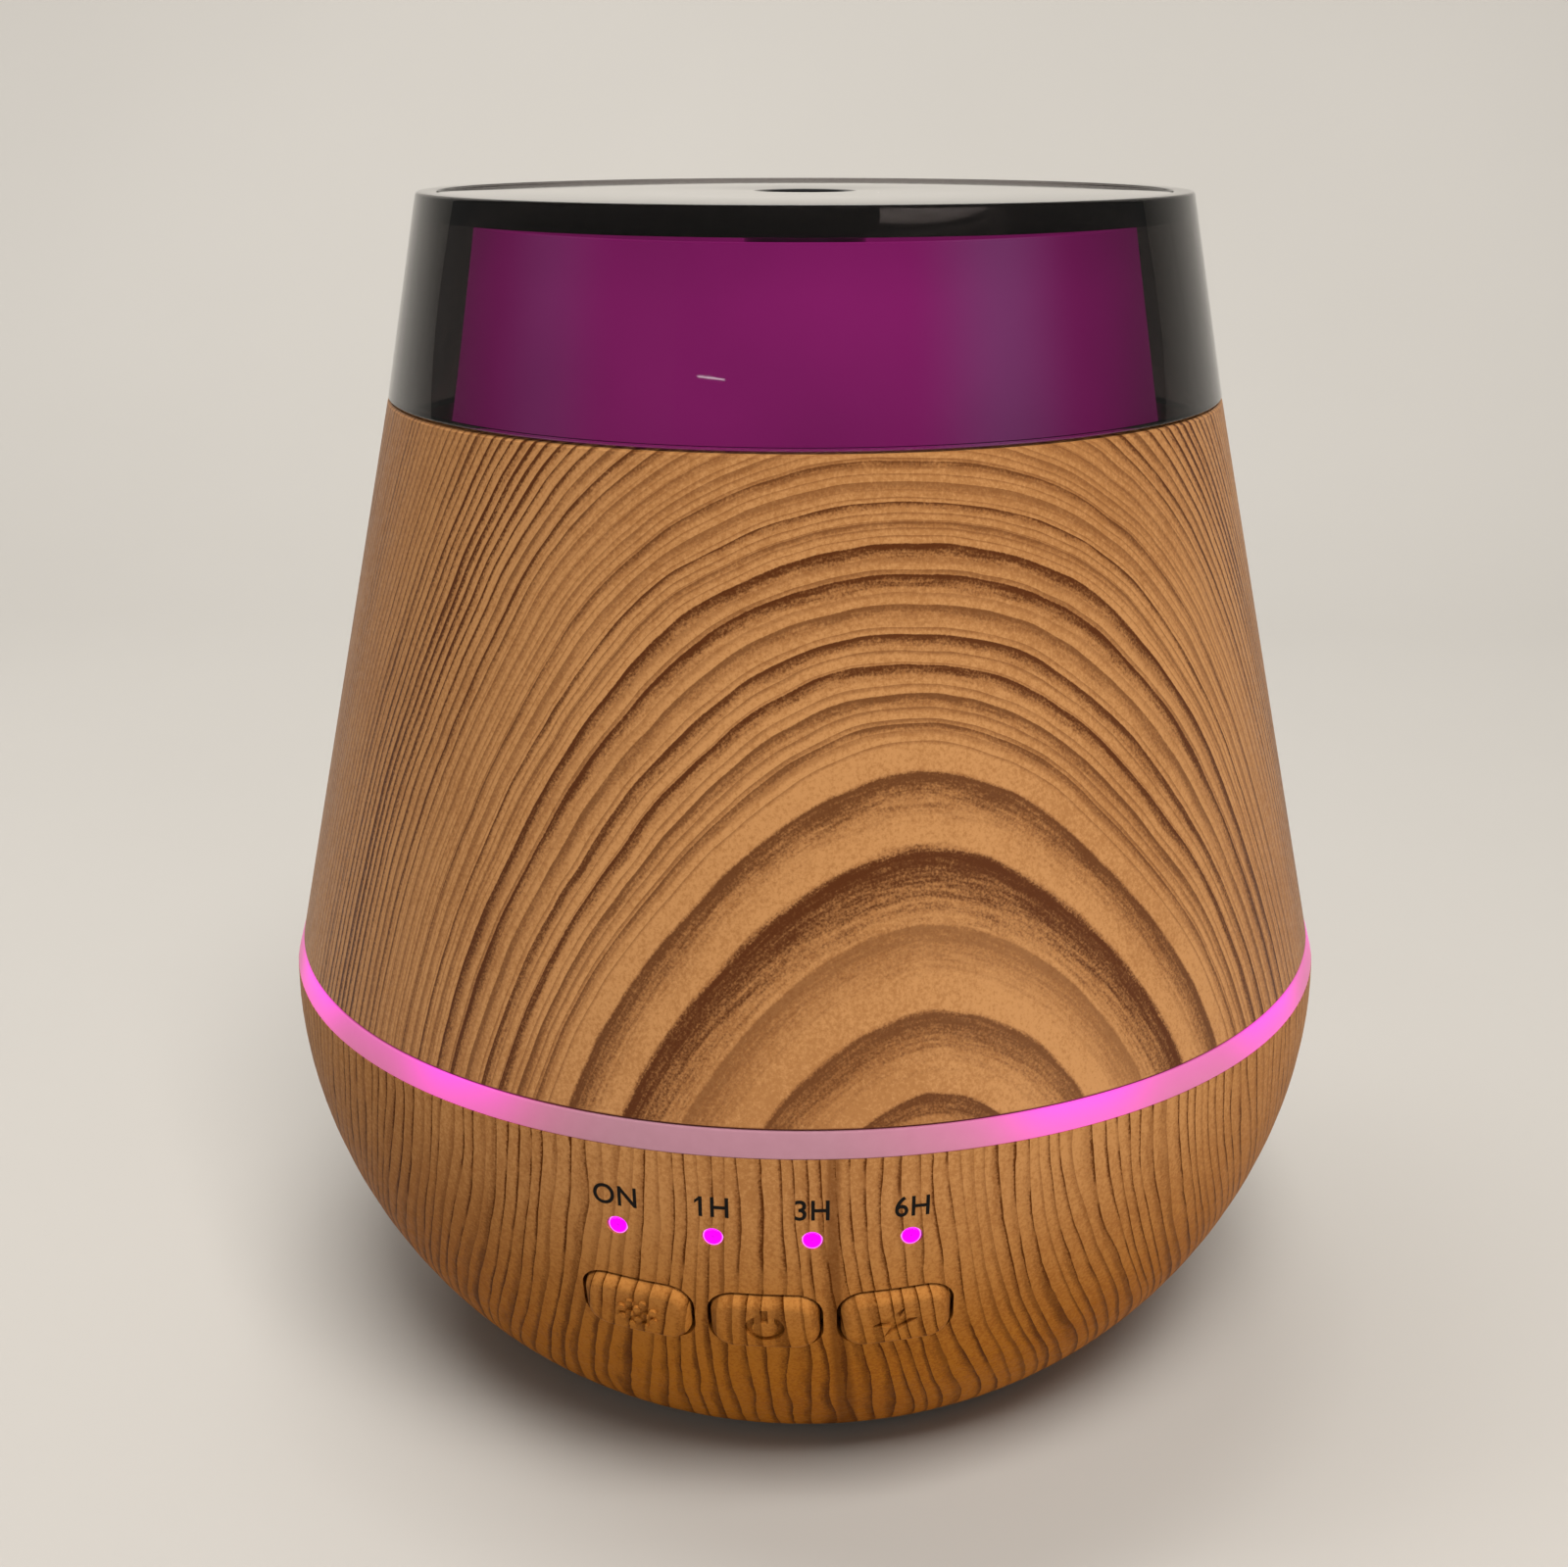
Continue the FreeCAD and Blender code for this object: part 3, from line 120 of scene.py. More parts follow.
# the small arches are pointed and the large ones nearly round
ARCH_POWERS = (1.44, 1.88)
ARCH_POWER_REACH = (30.0, 90.0)
# each wide arch: how far its outer edge is from the arches' centre, its width, its strength
ARCHES = ((9.9, 6.0, 0.90), (19.2, 8.5, 0.85), (28.7, 8.0, 0.65), (36.9, 12.5, 1.00), (45.1, 7.0, 0.90))
# beyond this reach the arches give way to narrow rings
RINGS_FROM = 47.1
# spacing of the narrow rings, and the reach from which each spacing holds
RING_SPACING = ((3.34, RINGS_FROM), (2.3, 71.0), (2.0, 85.0), (2.8, 150.0))
# fainter lines lie between the rings, this many to a ring, and grow weaker over this reach
THREADS = 2.6
THREADS_FADE = (80.0, 100.0)
THREADS_STRENGTH = (0.65, 0.20)
# two rings, counted from the inside, are bold, and a zone of rings is darker: its middle and half width
BOLD_RINGS = (5, 6)
DARK_RINGS = (103.0, 13.0)
# how many lines go round the bowl, how far they spread at its front, and how far down it reaches
STREAK_COUNT = 262
STREAK_SPREAD = 0.9
BOWL_DEPTH = 47.6
# one broad dark streak beside the middle button: its turn at the ring, its lean, its soft edge, in degrees
STREAK_TURN = 6.5
STREAK_LEAN = -1.5
STREAK_EDGE = (0.3, 1.0)
# the buttons are printed on their own, so their lines don't meet the bowl's
BUTTON_PRINT_TURN = 0.4

# ---- facets round each turned shell
SEGMENTS = 256


# ======== node materials

class Shader:
    """A node material written as arithmetic: each method adds a node and returns its output."""

    def __init__(self, name):
        self.material = bpy.data.materials.new(name)
        self.material.use_nodes = True
        self.tree = self.material.node_tree
        self.tree.nodes.clear()
        self.place = self.node("ShaderNodeTexCoord").outputs["Object"]

    def node(self, kind, **settings):
        made = self.tree.nodes.new(kind)
        for key, value in settings.items():
            setattr(made, key, value)
        return made

    def plug(self, socket, value):
        if isinstance(value, bpy.types.NodeSocket):
            self.tree.links.new(value, socket)
        else:
            socket.default_value = value

    def math(self, operation, *values, clamp=False):
        made = self.node("ShaderNodeMath", operation=operation, use_clamp=clamp)
        for socket, value in zip(made.inputs, values):
            self.plug(socket, value)
        return made.outputs[0]

    def add(self, a, b):
        return self.math("ADD", a, b)

    def less(self, a, b):
        return self.math("SUBTRACT", a, b)

    def times(self, a, b):
        return self.math("MULTIPLY", a, b)

    def over(self, a, b):
        return self.math("DIVIDE", a, b)

    def power(self, a, b):
        return self.math("POWER", a, b)

    def xyz_mm(self):
        """Object coordinates in millimetres, as three numbers."""
        made = self.node("ShaderNodeSeparateXYZ")
        self.plug(made.inputs[0], self.place)
        return [self.times(out, 1 / MM) for out in made.outputs]

    def vector(self, x, y, z):
        made = self.node("ShaderNodeCombineXYZ")
        for socket, value in zip(made.inputs, (x, y, z)):
            self.plug(socket, value)
        return made.outputs[0]

    def noise(self, where, scale, detail, roughness):
        made = self.node("ShaderNodeTexNoise")
        self.plug(made.inputs["Vector"], where)
        made.inputs["Scale"].default_value = scale
        made.inputs["Detail"].default_value = detail
        made.inputs["Roughness"].default_value = roughness
        return made.outputs["Fac"]

    def random(self, number, seed):
        """A steady random number from 0 to 1 for each whole number."""
        made = self.node("ShaderNodeTexWhiteNoise", noise_dimensions="2D")
        self.plug(made.inputs["Vector"], self.vector(number, seed, 0.0))
        return made.outputs["Value"]

    def ramp(self, value, low, high, start=0.0, end=1.0, smooth=True):
        made = self.node("ShaderNodeMapRange", interpolation_type="SMOOTHSTEP" if smooth else "LINEAR")
        for socket, number in zip(made.inputs[:5], (value, low, high, start, end)):
            self.plug(socket, number)
        return made.outputs[0]

    def mix(self, share, a, b):
        made = self.node("ShaderNodeMix", data_type="RGBA")
        sockets = [s for s in made.inputs if s.enabled]
        for socket, value in zip(sockets, (share, a, b)):
            self.plug(socket, value)
        return [s for s in made.outputs if s.enabled][0]

    def bump(self, height, distance, strength):
        made = self.node("ShaderNodeBump")
        made.inputs["Distance"].default_value = distance
        made.inputs["Strength"].default_value = strength
        self.plug(made.inputs["Height"], height)
        return made.outputs[0]

    def surface(self, **inputs):
        """Ends the material with a Principled shader; names use _ for a space."""
        made = self.node("ShaderNodeBsdfPrincipled")
        for key, value in inputs.items():
            self.plug(made.inputs[key.replace("_", " ")], value)
        output = self.node("ShaderNodeOutputMaterial")
        self.tree.links.new(made.outputs[0], output.inputs["Surface"])
        return self.material


def rgb(red, green, blue):
    return (red, green, blue, 1.0)


# the print's colours, and darker, warmer copies of them that paint shade low on the bowl
WOOD_PALE = rgb(0.430, 0.208, 0.075)
WOOD_WARM = rgb(0.325, 0.143, 0.046)
WOOD_BROWN = rgb(0.155, 0.050, 0.013)
WOOD_LINE = rgb(0.075, 0.020, 0.004)
WOOD_SHADED = rgb(0.370, 0.130, 0.009)
WOOD_WARM_SHADED = rgb(0.280, 0.086, 0.005)
WOOD_LINE_SHADED = rgb(0.082, 0.022, 0.001)
CONE_GLOSS = 0.22
BOWL_GLOSS = 0.02
MAGENTA = rgb(1.0, 0.02, 0.80)


def torn_noise(s, across, along):
    """Fine specks and short threads along the grain, which tear the edges of the print."""
    specks = s.noise(s.place, 3.4 / MM, 1.0, 0.6)
    threads = s.noise(s.vector(across, s.times(along, 0.10), 0.0), 1.5, 2.0, 0.6)
    return s.add(s.times(specks, 0.45), s.times(threads, 0.55))


def band(s, depth, torn, strength):
    """A printed line: sharp where depth is 0, and breaking up into specks as depth nears 1."""
    rough = s.less(torn, 0.5)
    edge = s.ramp(s.add(depth, s.times(rough, 0.15)), -0.03, 0.05)
    body = s.ramp(s.add(s.less(1.0, depth), s.times(rough, 1.5)), 0.10, 0.95)
    return s.times(s.times(edge, body), strength)


def narrow_rings(s, ring, torn, bold=(), dark=0.0):
    """Rings that end at each whole number, with their own random width and strength."""
    index = s.math("FLOOR", ring)
    share = s.less(1.0, s.math("FRACT", ring))
    width = s.add(s.ramp(s.random(index, 1.0), 0.0, 1.0, 0.40, 0.95, smooth=False), dark)
    strength = s.add(s.ramp(s.random(index, 2.0), 0.0, 1.0, 0.62, 1.0, smooth=False), dark)
    for number in bold:
        hit = s.math("COMPARE", index, float(number), 0.5)
        width = s.math("MAXIMUM", width, s.times(hit, 0.85))
        strength = s.math("MAXIMUM", strength, hit)
    return band(s, s.over(share, width), torn, strength)


def thin_lines(s, ring, height, torn):
    """A sharp dark line at each whole number, which comes and goes along its length."""
    index = s.math("FLOOR", ring)
    share = s.less(1.0, s.math("FRACT", ring))
    strength = s.ramp(s.random(index, 3.0), 0.1, 0.5, 0.45, 1.0)
    fade = s.noise(s.vector(s.times(index, 7.0), s.times(height, 0.14), 0.0), 1.0, 1.0, 0.5)
    strength = s.times(strength, s.ramp(fade, 0.32, 0.52, 0.35, 1.0))
    return band(s, s.over(share, 0.38), torn, strength)


def finish_print(s, tone, shade, gloss):
    """The pale print, darkened by tone and mixed by shade towards its painted-shade colours, under a thin
    satin lacquer with a slight orange peel.
    """
    drift = s.noise(s.place, 26.0, 3.0, 0.55)
    x, y, z = s.xyz_mm()
    fibre = s.noise(s.vector(x, y, s.times(z, 0.2)), 0.9, 3.0, 0.65)
    speck = s.noise(s.place, 2.2 / MM, 2.0, 0.7)
    mottle = s.add(s.add(s.times(fibre, 0.15), s.times(drift, 0.35)), s.times(speck, 0.50))
    warmth = s.ramp(mottle, 0.42, 0.60)
    base = s.mix(shade, s.mix(warmth, WOOD_PALE, WOOD_WARM), s.mix(warmth, WOOD_SHADED, WOOD_WARM_SHADED))
    line = s.mix(shade, s.mix(s.ramp(tone, 0.35, 0.95), WOOD_BROWN, WOOD_LINE), WOOD_LINE_SHADED)
    colour = s.mix(s.math("MULTIPLY", tone, 1.0, clamp=True), base, line)
    peel = s.noise(s.place, 420.0, 2.0, 0.5)
    return s.surface(
        Base_Color=colour,
        Roughness=s.ramp(s.noise(s.place, 900.0, 2.0, 0.6), 0.3, 0.7, 0.40, 0.50),
        Normal=s.bump(s.add(s.times(peel, 0.5), s.times(tone, -0.2)), 0.05 * MM, 0.35),
        Specular_IOR_Level=gloss,
    )


def cathedral_wood():
    """Nested arches that stand on the light ring, and turn into upright lines further round."""
    s = Shader("cathedral_wood")
    x, y, z = s.xyz_mm()
    turned_x = s.add(s.times(x, math.cos(ARCH_TURN)), s.times(y, math.sin(ARCH_TURN)))
    turned_y = s.less(s.times(y, math.cos(ARCH_TURN)), s.times(x, math.sin(ARCH_TURN)))
    aside = s.times(s.math("ABSOLUTE", s.math("ARCTAN2", turned_x, s.times(turned_y, -1.0))), ARCH_R)
    up = s.less(z, ARCH_FOOT_Z)
    plain_reach = s.math("SQRT", s.add(s.times(aside, aside), s.times(up, up)))
    arch_power = s.ramp(plain_reach, *ARCH_POWER_REACH, *ARCH_POWERS)
    wide = s.times(s.power(aside, ARCH_CROWDING), ARCH_STRETCH)
    reach = s.add(s.power(wide, arch_power), s.power(up, arch_power))
    reach = s.power(reach, s.over(1.0, arch_power))
    wander = s.times(s.less(s.noise(s.place, 24.0, 1.0, 0.5), 0.5), 4.5)
    ripple = s.times(s.less(s.noise(s.place, 140.0, 1.0, 0.5), 0.5), 0.7)
    reach = s.add(s.add(reach, wander), ripple)
    torn = torn_noise(s, reach, aside)
    tone = 0.0
    for edge, width, strength in ARCHES:
        arch = band(s, s.over(s.less(edge, reach), width), torn, strength)
        tone = s.math("MAXIMUM", tone, arch)
    ring = 0.0
    pitch = 0.0
    for spacing, start in RING_SPACING:
        beyond = s.math("MAXIMUM", s.less(reach, start), 0.0)
        ring = s.add(ring, s.times(beyond, 1.0 / spacing - pitch))
        pitch = 1.0 / spacing
    dark = s.ramp(s.math("ABSOLUTE", s.less(reach, DARK_RINGS[0])), 0.0, DARK_RINGS[1], 0.30, 0.0)
    rings = narrow_rings(s, ring, torn, BOLD_RINGS, dark)
    threads = narrow_rings(s, s.times(ring, THREADS), torn)
    threads = s.times(threads, s.ramp(reach, *THREADS_FADE, *THREADS_STRENGTH))
    rings = s.times(s.math("MAXIMUM", rings, threads), s.ramp(reach, RINGS_FROM, RINGS_FROM + 0.5))
    tone = s.math("MAXIMUM", tone, rings)
    # painted shadow: a dark line along the foot of the cover, just above the light ring
    foot_shadow = s.ramp(z, RING_TOP_Z / MM + 0.15, RING_TOP_Z / MM + 0.5, 1.0, 0.0)
    return finish_print(s, s.math("MAXIMUM", tone, foot_shadow), 0.0, CONE_GLOSS)


def straight_wood(name, shift=0.0):
    """Upright, unevenly spaced lines that lean outwards as the bowl curves under."""
    s = Shader(name)
    x, y, z = s.xyz_mm()
    angle = s.math("ARCTAN2", x, s.times(y, -1.0))
    down = s.over(s.less(RING_LOW_Z / MM, z), BOWL_DEPTH)
    front = s.times(s.add(1.0, s.math("COSINE", angle)), 0.5)
    lean = s.add(1.0, s.times(s.times(s.times(down, down), STREAK_SPREAD), front))
    spread = s.add(s.over(angle, lean), shift)
    around = s.vector(s.math("COSINE", spread), s.math("SINE", spread), s.times(z, 0.003))
    uneven = s.times(s.less(s.noise(around, 8.0, 2.0, 0.5), 0.5), 3.0)
    ripple = s.times(s.less(s.noise(s.place, 60.0, 4.0, 0.6), 0.5), 0.55)
    ring = s.add(s.add(s.times(spread, STREAK_COUNT / math.tau), uneven), ripple)
    torn = torn_noise(s, s.times(ring, 1.7), z)
    lines = thin_lines(s, ring, z, torn)
    fine = s.times(narrow_rings(s, ring, torn), s.ramp(down, 0.2, 0.7, 0.55, 0.95))
    tone = s.math("MAXIMUM", lines, fine)
    broad = s.ramp(s.noise(around, 5.0, 2.0, 0.6), 0.50, 0.70, 0.0, 0.25)
    streak_turn = s.add(math.radians(STREAK_TURN), s.times(down, math.radians(STREAK_LEAN)))
    streak_edge = [math.radians(edge) for edge in STREAK_EDGE]
    streak = s.ramp(s.math("ABSOLUTE", s.less(spread, streak_turn)), *streak_edge, 0.60, 0.0)
    tone = s.add(s.math("MAXIMUM", tone, streak), s.times(broad, s.ramp(torn, 0.3, 0.7)))
    # painted shade: the print darkens and warms towards the bottom of the bowl
    return finish_print(s, tone, s.ramp(down, 0.0, 0.8, 0.05, 1.0), BOWL_GLOSS)


def smoke_plastic():
    """Smoke-grey plastic: the longer the way through it, the darker."""
    s = Shader("smoke_plastic")
    waves = s.noise(s.place, 30.0, 1.0, 0.5)
    made = s.surface(
        Base_Color=s.mix(waves, rgb(0.86, 0.84, 0.84), rgb(0.90, 0.88, 0.88)), Transmission_Weight=1.0,
        IOR=1.45, Roughness=0.02, Normal=s.bump(waves, 0.02 * MM, 0.15), Specular_IOR_Level=0.10,
    )
    smoke = s.node("ShaderNodeVolumeAbsorption")
    smoke.inputs["Color"].default_value = rgb(0.10, 0.06, 0.05)
    smoke.inputs["Density"].default_value = SMOKE_DENSITY
    output = [n for n in s.tree.nodes if n.bl_idname == "ShaderNodeOutputMaterial"][0]
    s.tree.links.new(smoke.outputs[0], output.inputs["Volume"])
    return made


def gloss_black():
    """Piano-black plastic under a clear coat."""
    s = Shader("gloss_black")
    haze = s.noise(s.place, 160.0, 3.0, 0.6)
    return s.surface(
        Base_Color=s.mix(haze, rgb(0.006, 0.006, 0.007), rgb(0.012, 0.012, 0.013)),
        Roughness=s.ramp(haze, 0.3, 0.7, 0.05, 0.09), Coat_Weight=1.0, Coat_Roughness=0.03,
    )


def ring_plastic():
    """Frosted ring: magenta over each lamp, dull pink at the front where there is none."""
    s = Shader("ring_plastic")
    x, y, z = s.xyz_mm()
    angle = s.math("ARCTAN2", x, s.times(y, -1.0))
    lamps = s.ramp(s.math("COSINE", s.times(angle, RING_LAMPS)), -1.0, 1.0, 0.50, 1.0)
    aside = s.math("ABSOLUTE", s.less(angle, math.radians(RING_DARK_TURN)))
    away = s.ramp(aside, *[math.radians(turn) for turn in RING_DARK_FADE])
    height = s.ramp(z, RING_LOW_Z / MM, RING_TOP_Z / MM, 0.80, 1.05, smooth=False)
    glow = s.times(s.times(lamps, away), height)
    frost = s.noise(s.place, 700.0, 2.0, 0.6)
    body = s.mix(frost, rgb(0.31, 0.155, 0.195), rgb(0.35, 0.18, 0.225))
    return s.surface(
        Base_Color=s.mix(glow, body, rgb(0.25, 0.05, 0.18)), Roughness=0.42,
        Emission_Color=s.mix(s.times(glow, height), rgb(0.90, 0.10, 0.25), rgb(1.0, 0.08, 0.68)),
        Emission_Strength=s.add(0.03, s.times(glow, 0.85)),
        Normal=s.bump(frost, 0.02 * MM, 0.3),
    )


def glowing_lid():
    """Milky inner lid lit magenta from the tank below, with soft paler bands painted in as reflections."""
    s = Shader("glowing_lid")
    x, y, z = s.xyz_mm()
    angle = s.math("ARCTAN2", x, s.times(y, -1.0))
    cloud = s.noise(s.place, 45.0, 2.0, 0.5)
    level = s.ramp(z, *LID_GLOW_Z, 0.60, 1.18, smooth=False)
    fade = [math.radians(turn) for turn in LID_FADE]
    level = s.times(level, s.ramp(s.math("ABSOLUTE", angle), *fade, 1.0, 0.62))
    # painted reflections of the room: paler bands in the lid's glow
    painted_reflections = 0.0
    for turn, half_width, strength in LID_PAINTED_REFLECTIONS:
        away = s.math("ABSOLUTE", s.less(angle, math.radians(turn)))
        painted_reflections = s.add(painted_reflections, s.ramp(away, 0.0, math.radians(half_width), strength, 0.0))
    return s.surface(
        Base_Color=s.mix(cloud, rgb(0.26, 0.06, 0.22), rgb(0.30, 0.08, 0.26)), Roughness=0.35,
        Emission_Color=s.mix(painted_reflections, rgb(0.78, 0.03, 0.46), rgb(0.70, 0.16, 0.60)),
        Emission_Strength=s.times(level, s.ramp(cloud, 0.2, 0.8, 0.92, 1.08)),
        Normal=s.bump(cloud, 0.05 * MM, 0.2),
    )


def lamp_window():
    """A lit indicator: a slightly darker middle, bright magenta, and a paler rim."""
    s = Shader("lamp_window")
    stored = s.node("ShaderNodeTexCoord").outputs["UV"]
    split = s.node("ShaderNodeSeparateXYZ")
    s.plug(split.inputs[0], stored)
    reach = split.outputs[0]
    grain = s.noise(s.place, 2500.0, 1.0, 0.5)
    colour = s.mix(s.ramp(reach, 0.84, 0.99), rgb(1.0, 0.0, 1.0), rgb(1.0, 0.30, 0.85))
    level = s.ramp(reach, 0.0, 0.45, 0.78, 1.15)
    return s.surface(
        Base_Color=rgb(0.10, 0.0, 0.10), Roughness=0.4, Specular_IOR_Level=0.05, Emission_Color=colour,
        Emission_Strength=s.times(level, s.ramp(grain, 0.0, 1.0, 0.97, 1.03)),
    )


def ink():
    """Matt black printing ink."""
    s = Shader("label_ink")
    patch = s.noise(s.place, 3000.0, 2.0, 0.6)
    return s.surface(
        Base_Color=s.mix(patch, rgb(0.004, 0.003, 0.003), rgb(0.010, 0.008, 0.006)),
        Roughness=s.ramp(patch, 0.2, 0.8, 0.60, 0.75), Specular_IOR_Level=0.1,
    )


def moulded(name, colour, shade, roughness, grain=900.0, depth=0.02, **extra):
    """Plain moulded plastic or rubber with a fine texture and slight mottling."""
    s = Shader(name)
    fine = s.noise(s.place, grain, 3.0, 0.6)
    broad = s.noise(s.place, 60.0, 2.0, 0.5)
    return s.surface(
        Base_Color=s.mix(s.ramp(broad, 0.3, 0.7), colour, shade),
        Roughness=s.ramp(fine, 0.3, 0.7, roughness - 0.05, roughness + 0.06),
        Normal=s.bump(fine, depth * MM, 0.5), **extra,
    )


def metal(name, colour, shade, roughness):
    """Plain metal with a fine, slightly uneven polish."""
    s = Shader(name)
    fine = s.noise(s.place, 1400.0, 3.0, 0.6)
    return s.surface(
        Base_Color=s.mix(fine, colour, shade), Metallic=1.0,
        Roughness=s.ramp(fine, 0.3, 0.7, roughness - 0.06, roughness + 0.08),
        Normal=s.bump(fine, 0.01 * MM, 0.4),
    )


def circuit_board():
    """Green solder mask over a pattern of paler copper tracks."""
    s = Shader("circuit_board")
    tracks = s.node("ShaderNodeTexBrick", offset=0.3, squash=1.4)
    s.plug(tracks.inputs["Vector"], s.place)
    tracks.inputs["Scale"].default_value = 260.0
    tracks.inputs["Mortar Size"].default_value = 0.06
    colours = {
        "Color1": rgb(0.01, 0.11, 0.04),
        "Color2": rgb(0.012, 0.14, 0.05),
        "Mortar": rgb(0.03, 0.24, 0.09),
    }
    for key, colour in colours.items():
        tracks.inputs[key].default_value = colour
    return s.surface(
        Base_Color=tracks.outputs["Color"], Roughness=0.32,
        Normal=s.bump(tracks.outputs["Fac"], 0.03 * MM, 0.5), Coat_Weight=0.3,
    )


def clear_plastic():
    """The clear light guide, lit magenta by the lamps behind it."""
    s = Shader("clear_plastic")
    haze = s.noise(s.place, 500.0, 2.0, 0.5)
    return s.surface(
        Base_Color=rgb(0.95, 0.9, 0.95), Transmission_Weight=1.0, IOR=1.49, Roughness=0.12,
        Emission_Color=MAGENTA, Emission_Strength=s.ramp(haze, 0.0, 1.0, 0.10, 0.16),
    )


# ======== mesh helpers

def rounded(outline, radii, steps=4):
    """The closed outline with each corner of a non-zero radius turned into a small arc."""
    points = []
    count = len(outline)
    for index, (corner, radius) in enumerate(zip(outline, radii)):
        corner = Vector(corner)
        if not radius:
            points.append(corner)
            continue
        before = (Vector(outline[index - 1]) - corner).normalized()
        after = (Vector(outline[(index + 1) % count]) - corner).normalized()
        half = before.angle(after) / 2
        start, end = corner + before * radius, corner + after * radius
        centre = corner + (before + after).normalized() * (radius / math.cos(half))
        for step in range(steps + 1):
            share = step / steps
            spoke = (start - centre) * (1 - share) + (end - centre) * share
            points.append(centre + spoke.normalized() * (start - centre).length)
    return points


def turned(name, outline, radii=None):
    """A closed shell turned about Z from (radius, height) points in order."""
    points = rounded(outline, radii or [0.0] * len(outline))
    mesh = bmesh.new()
    loops = []
    for radius, height in points:
        if radius < 1e-7:
            loops.append([mesh.verts.new((0, 0, height))])
            continue
        turns = [math.tau * index / SEGMENTS for index in range(SEGMENTS)]
        rim = [(radius * math.cos(turn), radius * math.sin(turn), height) for turn in turns]
        loops.append([mesh.verts.new(corner) for corner in rim])
    for lower, upper in zip(loops, loops[1:] + loops[:1]):
        if len(lower) == 1 and len(upper) == 1:
            continue
        for index in range(SEGMENTS):
            following = (index + 1) % SEGMENTS
            if len(lower) == 1:
                facet = (lower[0], upper[following], upper[index])
            elif len(upper) == 1:
                facet = (lower[index], lower[following], upper[0])
            else:
                facet = (lower[index], lower[following], upper[following], upper[index])
            mesh.faces.new(facet)
    bmesh.ops.recalc_face_normals(mesh, faces=mesh.faces)
    return finished(name, mesh)


def finished(name, mesh, crease=math.radians(32)):
    """Turns a bmesh into an object at the origin, smooth except at sharp edges."""
    for face in mesh.faces:
        face.smooth = True
    for edge in mesh.edges:
        edge.smooth = len(edge.link_faces) != 2 or edge.calc_face_angle(0.0) < crease
    data = bpy.data.meshes.new(name)
    mesh.to_mesh(data)
    mesh.free()
    data.validate()
    made = bpy.data.objects.new(name, data)
    bpy.context.scene.collection.objects.link(made)
    return made


def place(piece, body, slot, material, *nodes):
    """Gives a piece its material and body, and hides the CAD nodes that it replaces; slot is not used."""
    piece.data.materials.clear()
    piece.data.materials.append(material)
    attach(piece, body)
    if nodes:
        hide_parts(*nodes)
    return piece


def bowl_surface(angle, height):
    """The point of the bowl's outside at a turn from the front and a height."""
    inward = Vector((-math.sin(angle), math.cos(angle), 0))
    start = Vector((0, 0, height)) - inward * 0.2
    hit, point, _, _ = NODES["lower_bowl"].ray_cast(start, inward)
    return point if hit else start


# ======== shells

def taper(low_r, high_r, low_z, high_z, z):
    """The radius at z of a straight taper between two heights."""
    return low_r + (high_r - low_r) * (z - low_z) / (high_z - low_z)


def cone_shell(material):
    """The wood-print cover with rounded rims and the inner shelf that carries the smoke cap."""
    low, high = RING_TOP_Z, CONE_TOP_Z
    foot, top = CONE_FOOT_R, taper(CONE_FOOT_R, CONE_TOP_R, low, CONE_TOP_R_AT, high)
    shelf_low, shelf_high, shelf_r = 129.2 * MM, 131.2 * MM, 50.6 * MM
    outline = [
        (foot - CONE_WALL, low), (foot - ROUND, low), (foot - ROUND * 0.4, low + SEAM),
        (top, high - SEAM), (top - ROUND, high), (top - CONE_WALL, high),
        (taper(foot, top, low, high, shelf_high) - CONE_WALL, shelf_high), (shelf_r, shelf_high),
        (shelf_r, shelf_low), (taper(foot, top, low, high, shelf_low) - CONE_WALL, shelf_low),
    ]
    shell = turned("cone_shell", outline)
    return place(shell, "cover", "wood_print", material, "cone_cover")


def smoke_shell(material):
    """The clear cap: a tongue inside the cone, a sloping wall, a pocket for the top plate."""
    low = CONE_TOP_Z + SEAM
    tongue = (51.9 * MM, 53.1 * MM)
    pocket, ledge, foot_inner, chamfer = 48.0 * MM, 47.6 * MM, 52.55 * MM, 0.6 * MM
    outline = [
        (tongue[0], CAP_TONGUE_Z), (tongue[1], CAP_TONGUE_Z), (tongue[1], low),
        (CAP_FOOT_R, low), (CAP_TOP_R, CAP_TOP_Z), (pocket, CAP_TOP_Z), (pocket, PLATE_SEAT_Z),
        (ledge, PLATE_SEAT_Z), (foot_inner, low), (tongue[0], low - chamfer),
    ]
    radii = [0, 0, 0, 0.25 * MM, 0.4 * MM, 0.15 * MM, 0, 0, 0, 0]
    return place(turned("smoke_shell", outline, radii), "cover", "smoke_plastic", material, "smoke_cap")


def plate_disc(material):
    """The top plate, with the mist hole and the collar below it."""
    hole, collar = 6.5 * MM, 8.2 * MM
    outline = [
        (hole, COLLAR_LOW_Z), (collar, COLLAR_LOW_Z), (collar, PLATE_SEAT_Z), (PLATE_R, PLATE_SEAT_Z),
        (PLATE_R, PLATE_TOP_Z), (hole, PLATE_TOP_Z),
    ]
    radii = [0.2 * MM, 0.2 * MM, 0, 0, 0.3 * MM, 0.5 * MM]
    return place(turned("plate_disc", outline, radii), "cover", "gloss_black", material, "top_plate")


def lit_ring(material):
    """The light ring, with the lip that sits in the bowl's rim."""
    bore, lip_in, lip_out = 60.2 * MM, 67.6 * MM, 70.4 * MM
    lip_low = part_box("light_ring")[0].z
    outline = [
        (bore, RING_LOW_Z), (lip_in, RING_LOW_Z), (lip_in, lip_low), (lip_out, lip_low),
        (lip_out, RING_LOW_Z), (BOWL_RIM_R, RING_LOW_Z), (CONE_FOOT_R, RING_TOP_Z), (bore, RING_TOP_Z),
    ]
    radii = [0, 0, 0, 0, 0, 0.2 * MM, 0.2 * MM, 0]
    return place(turned("lit_ring", outline, radii), "base", "frosted_ring", material, "light_ring")


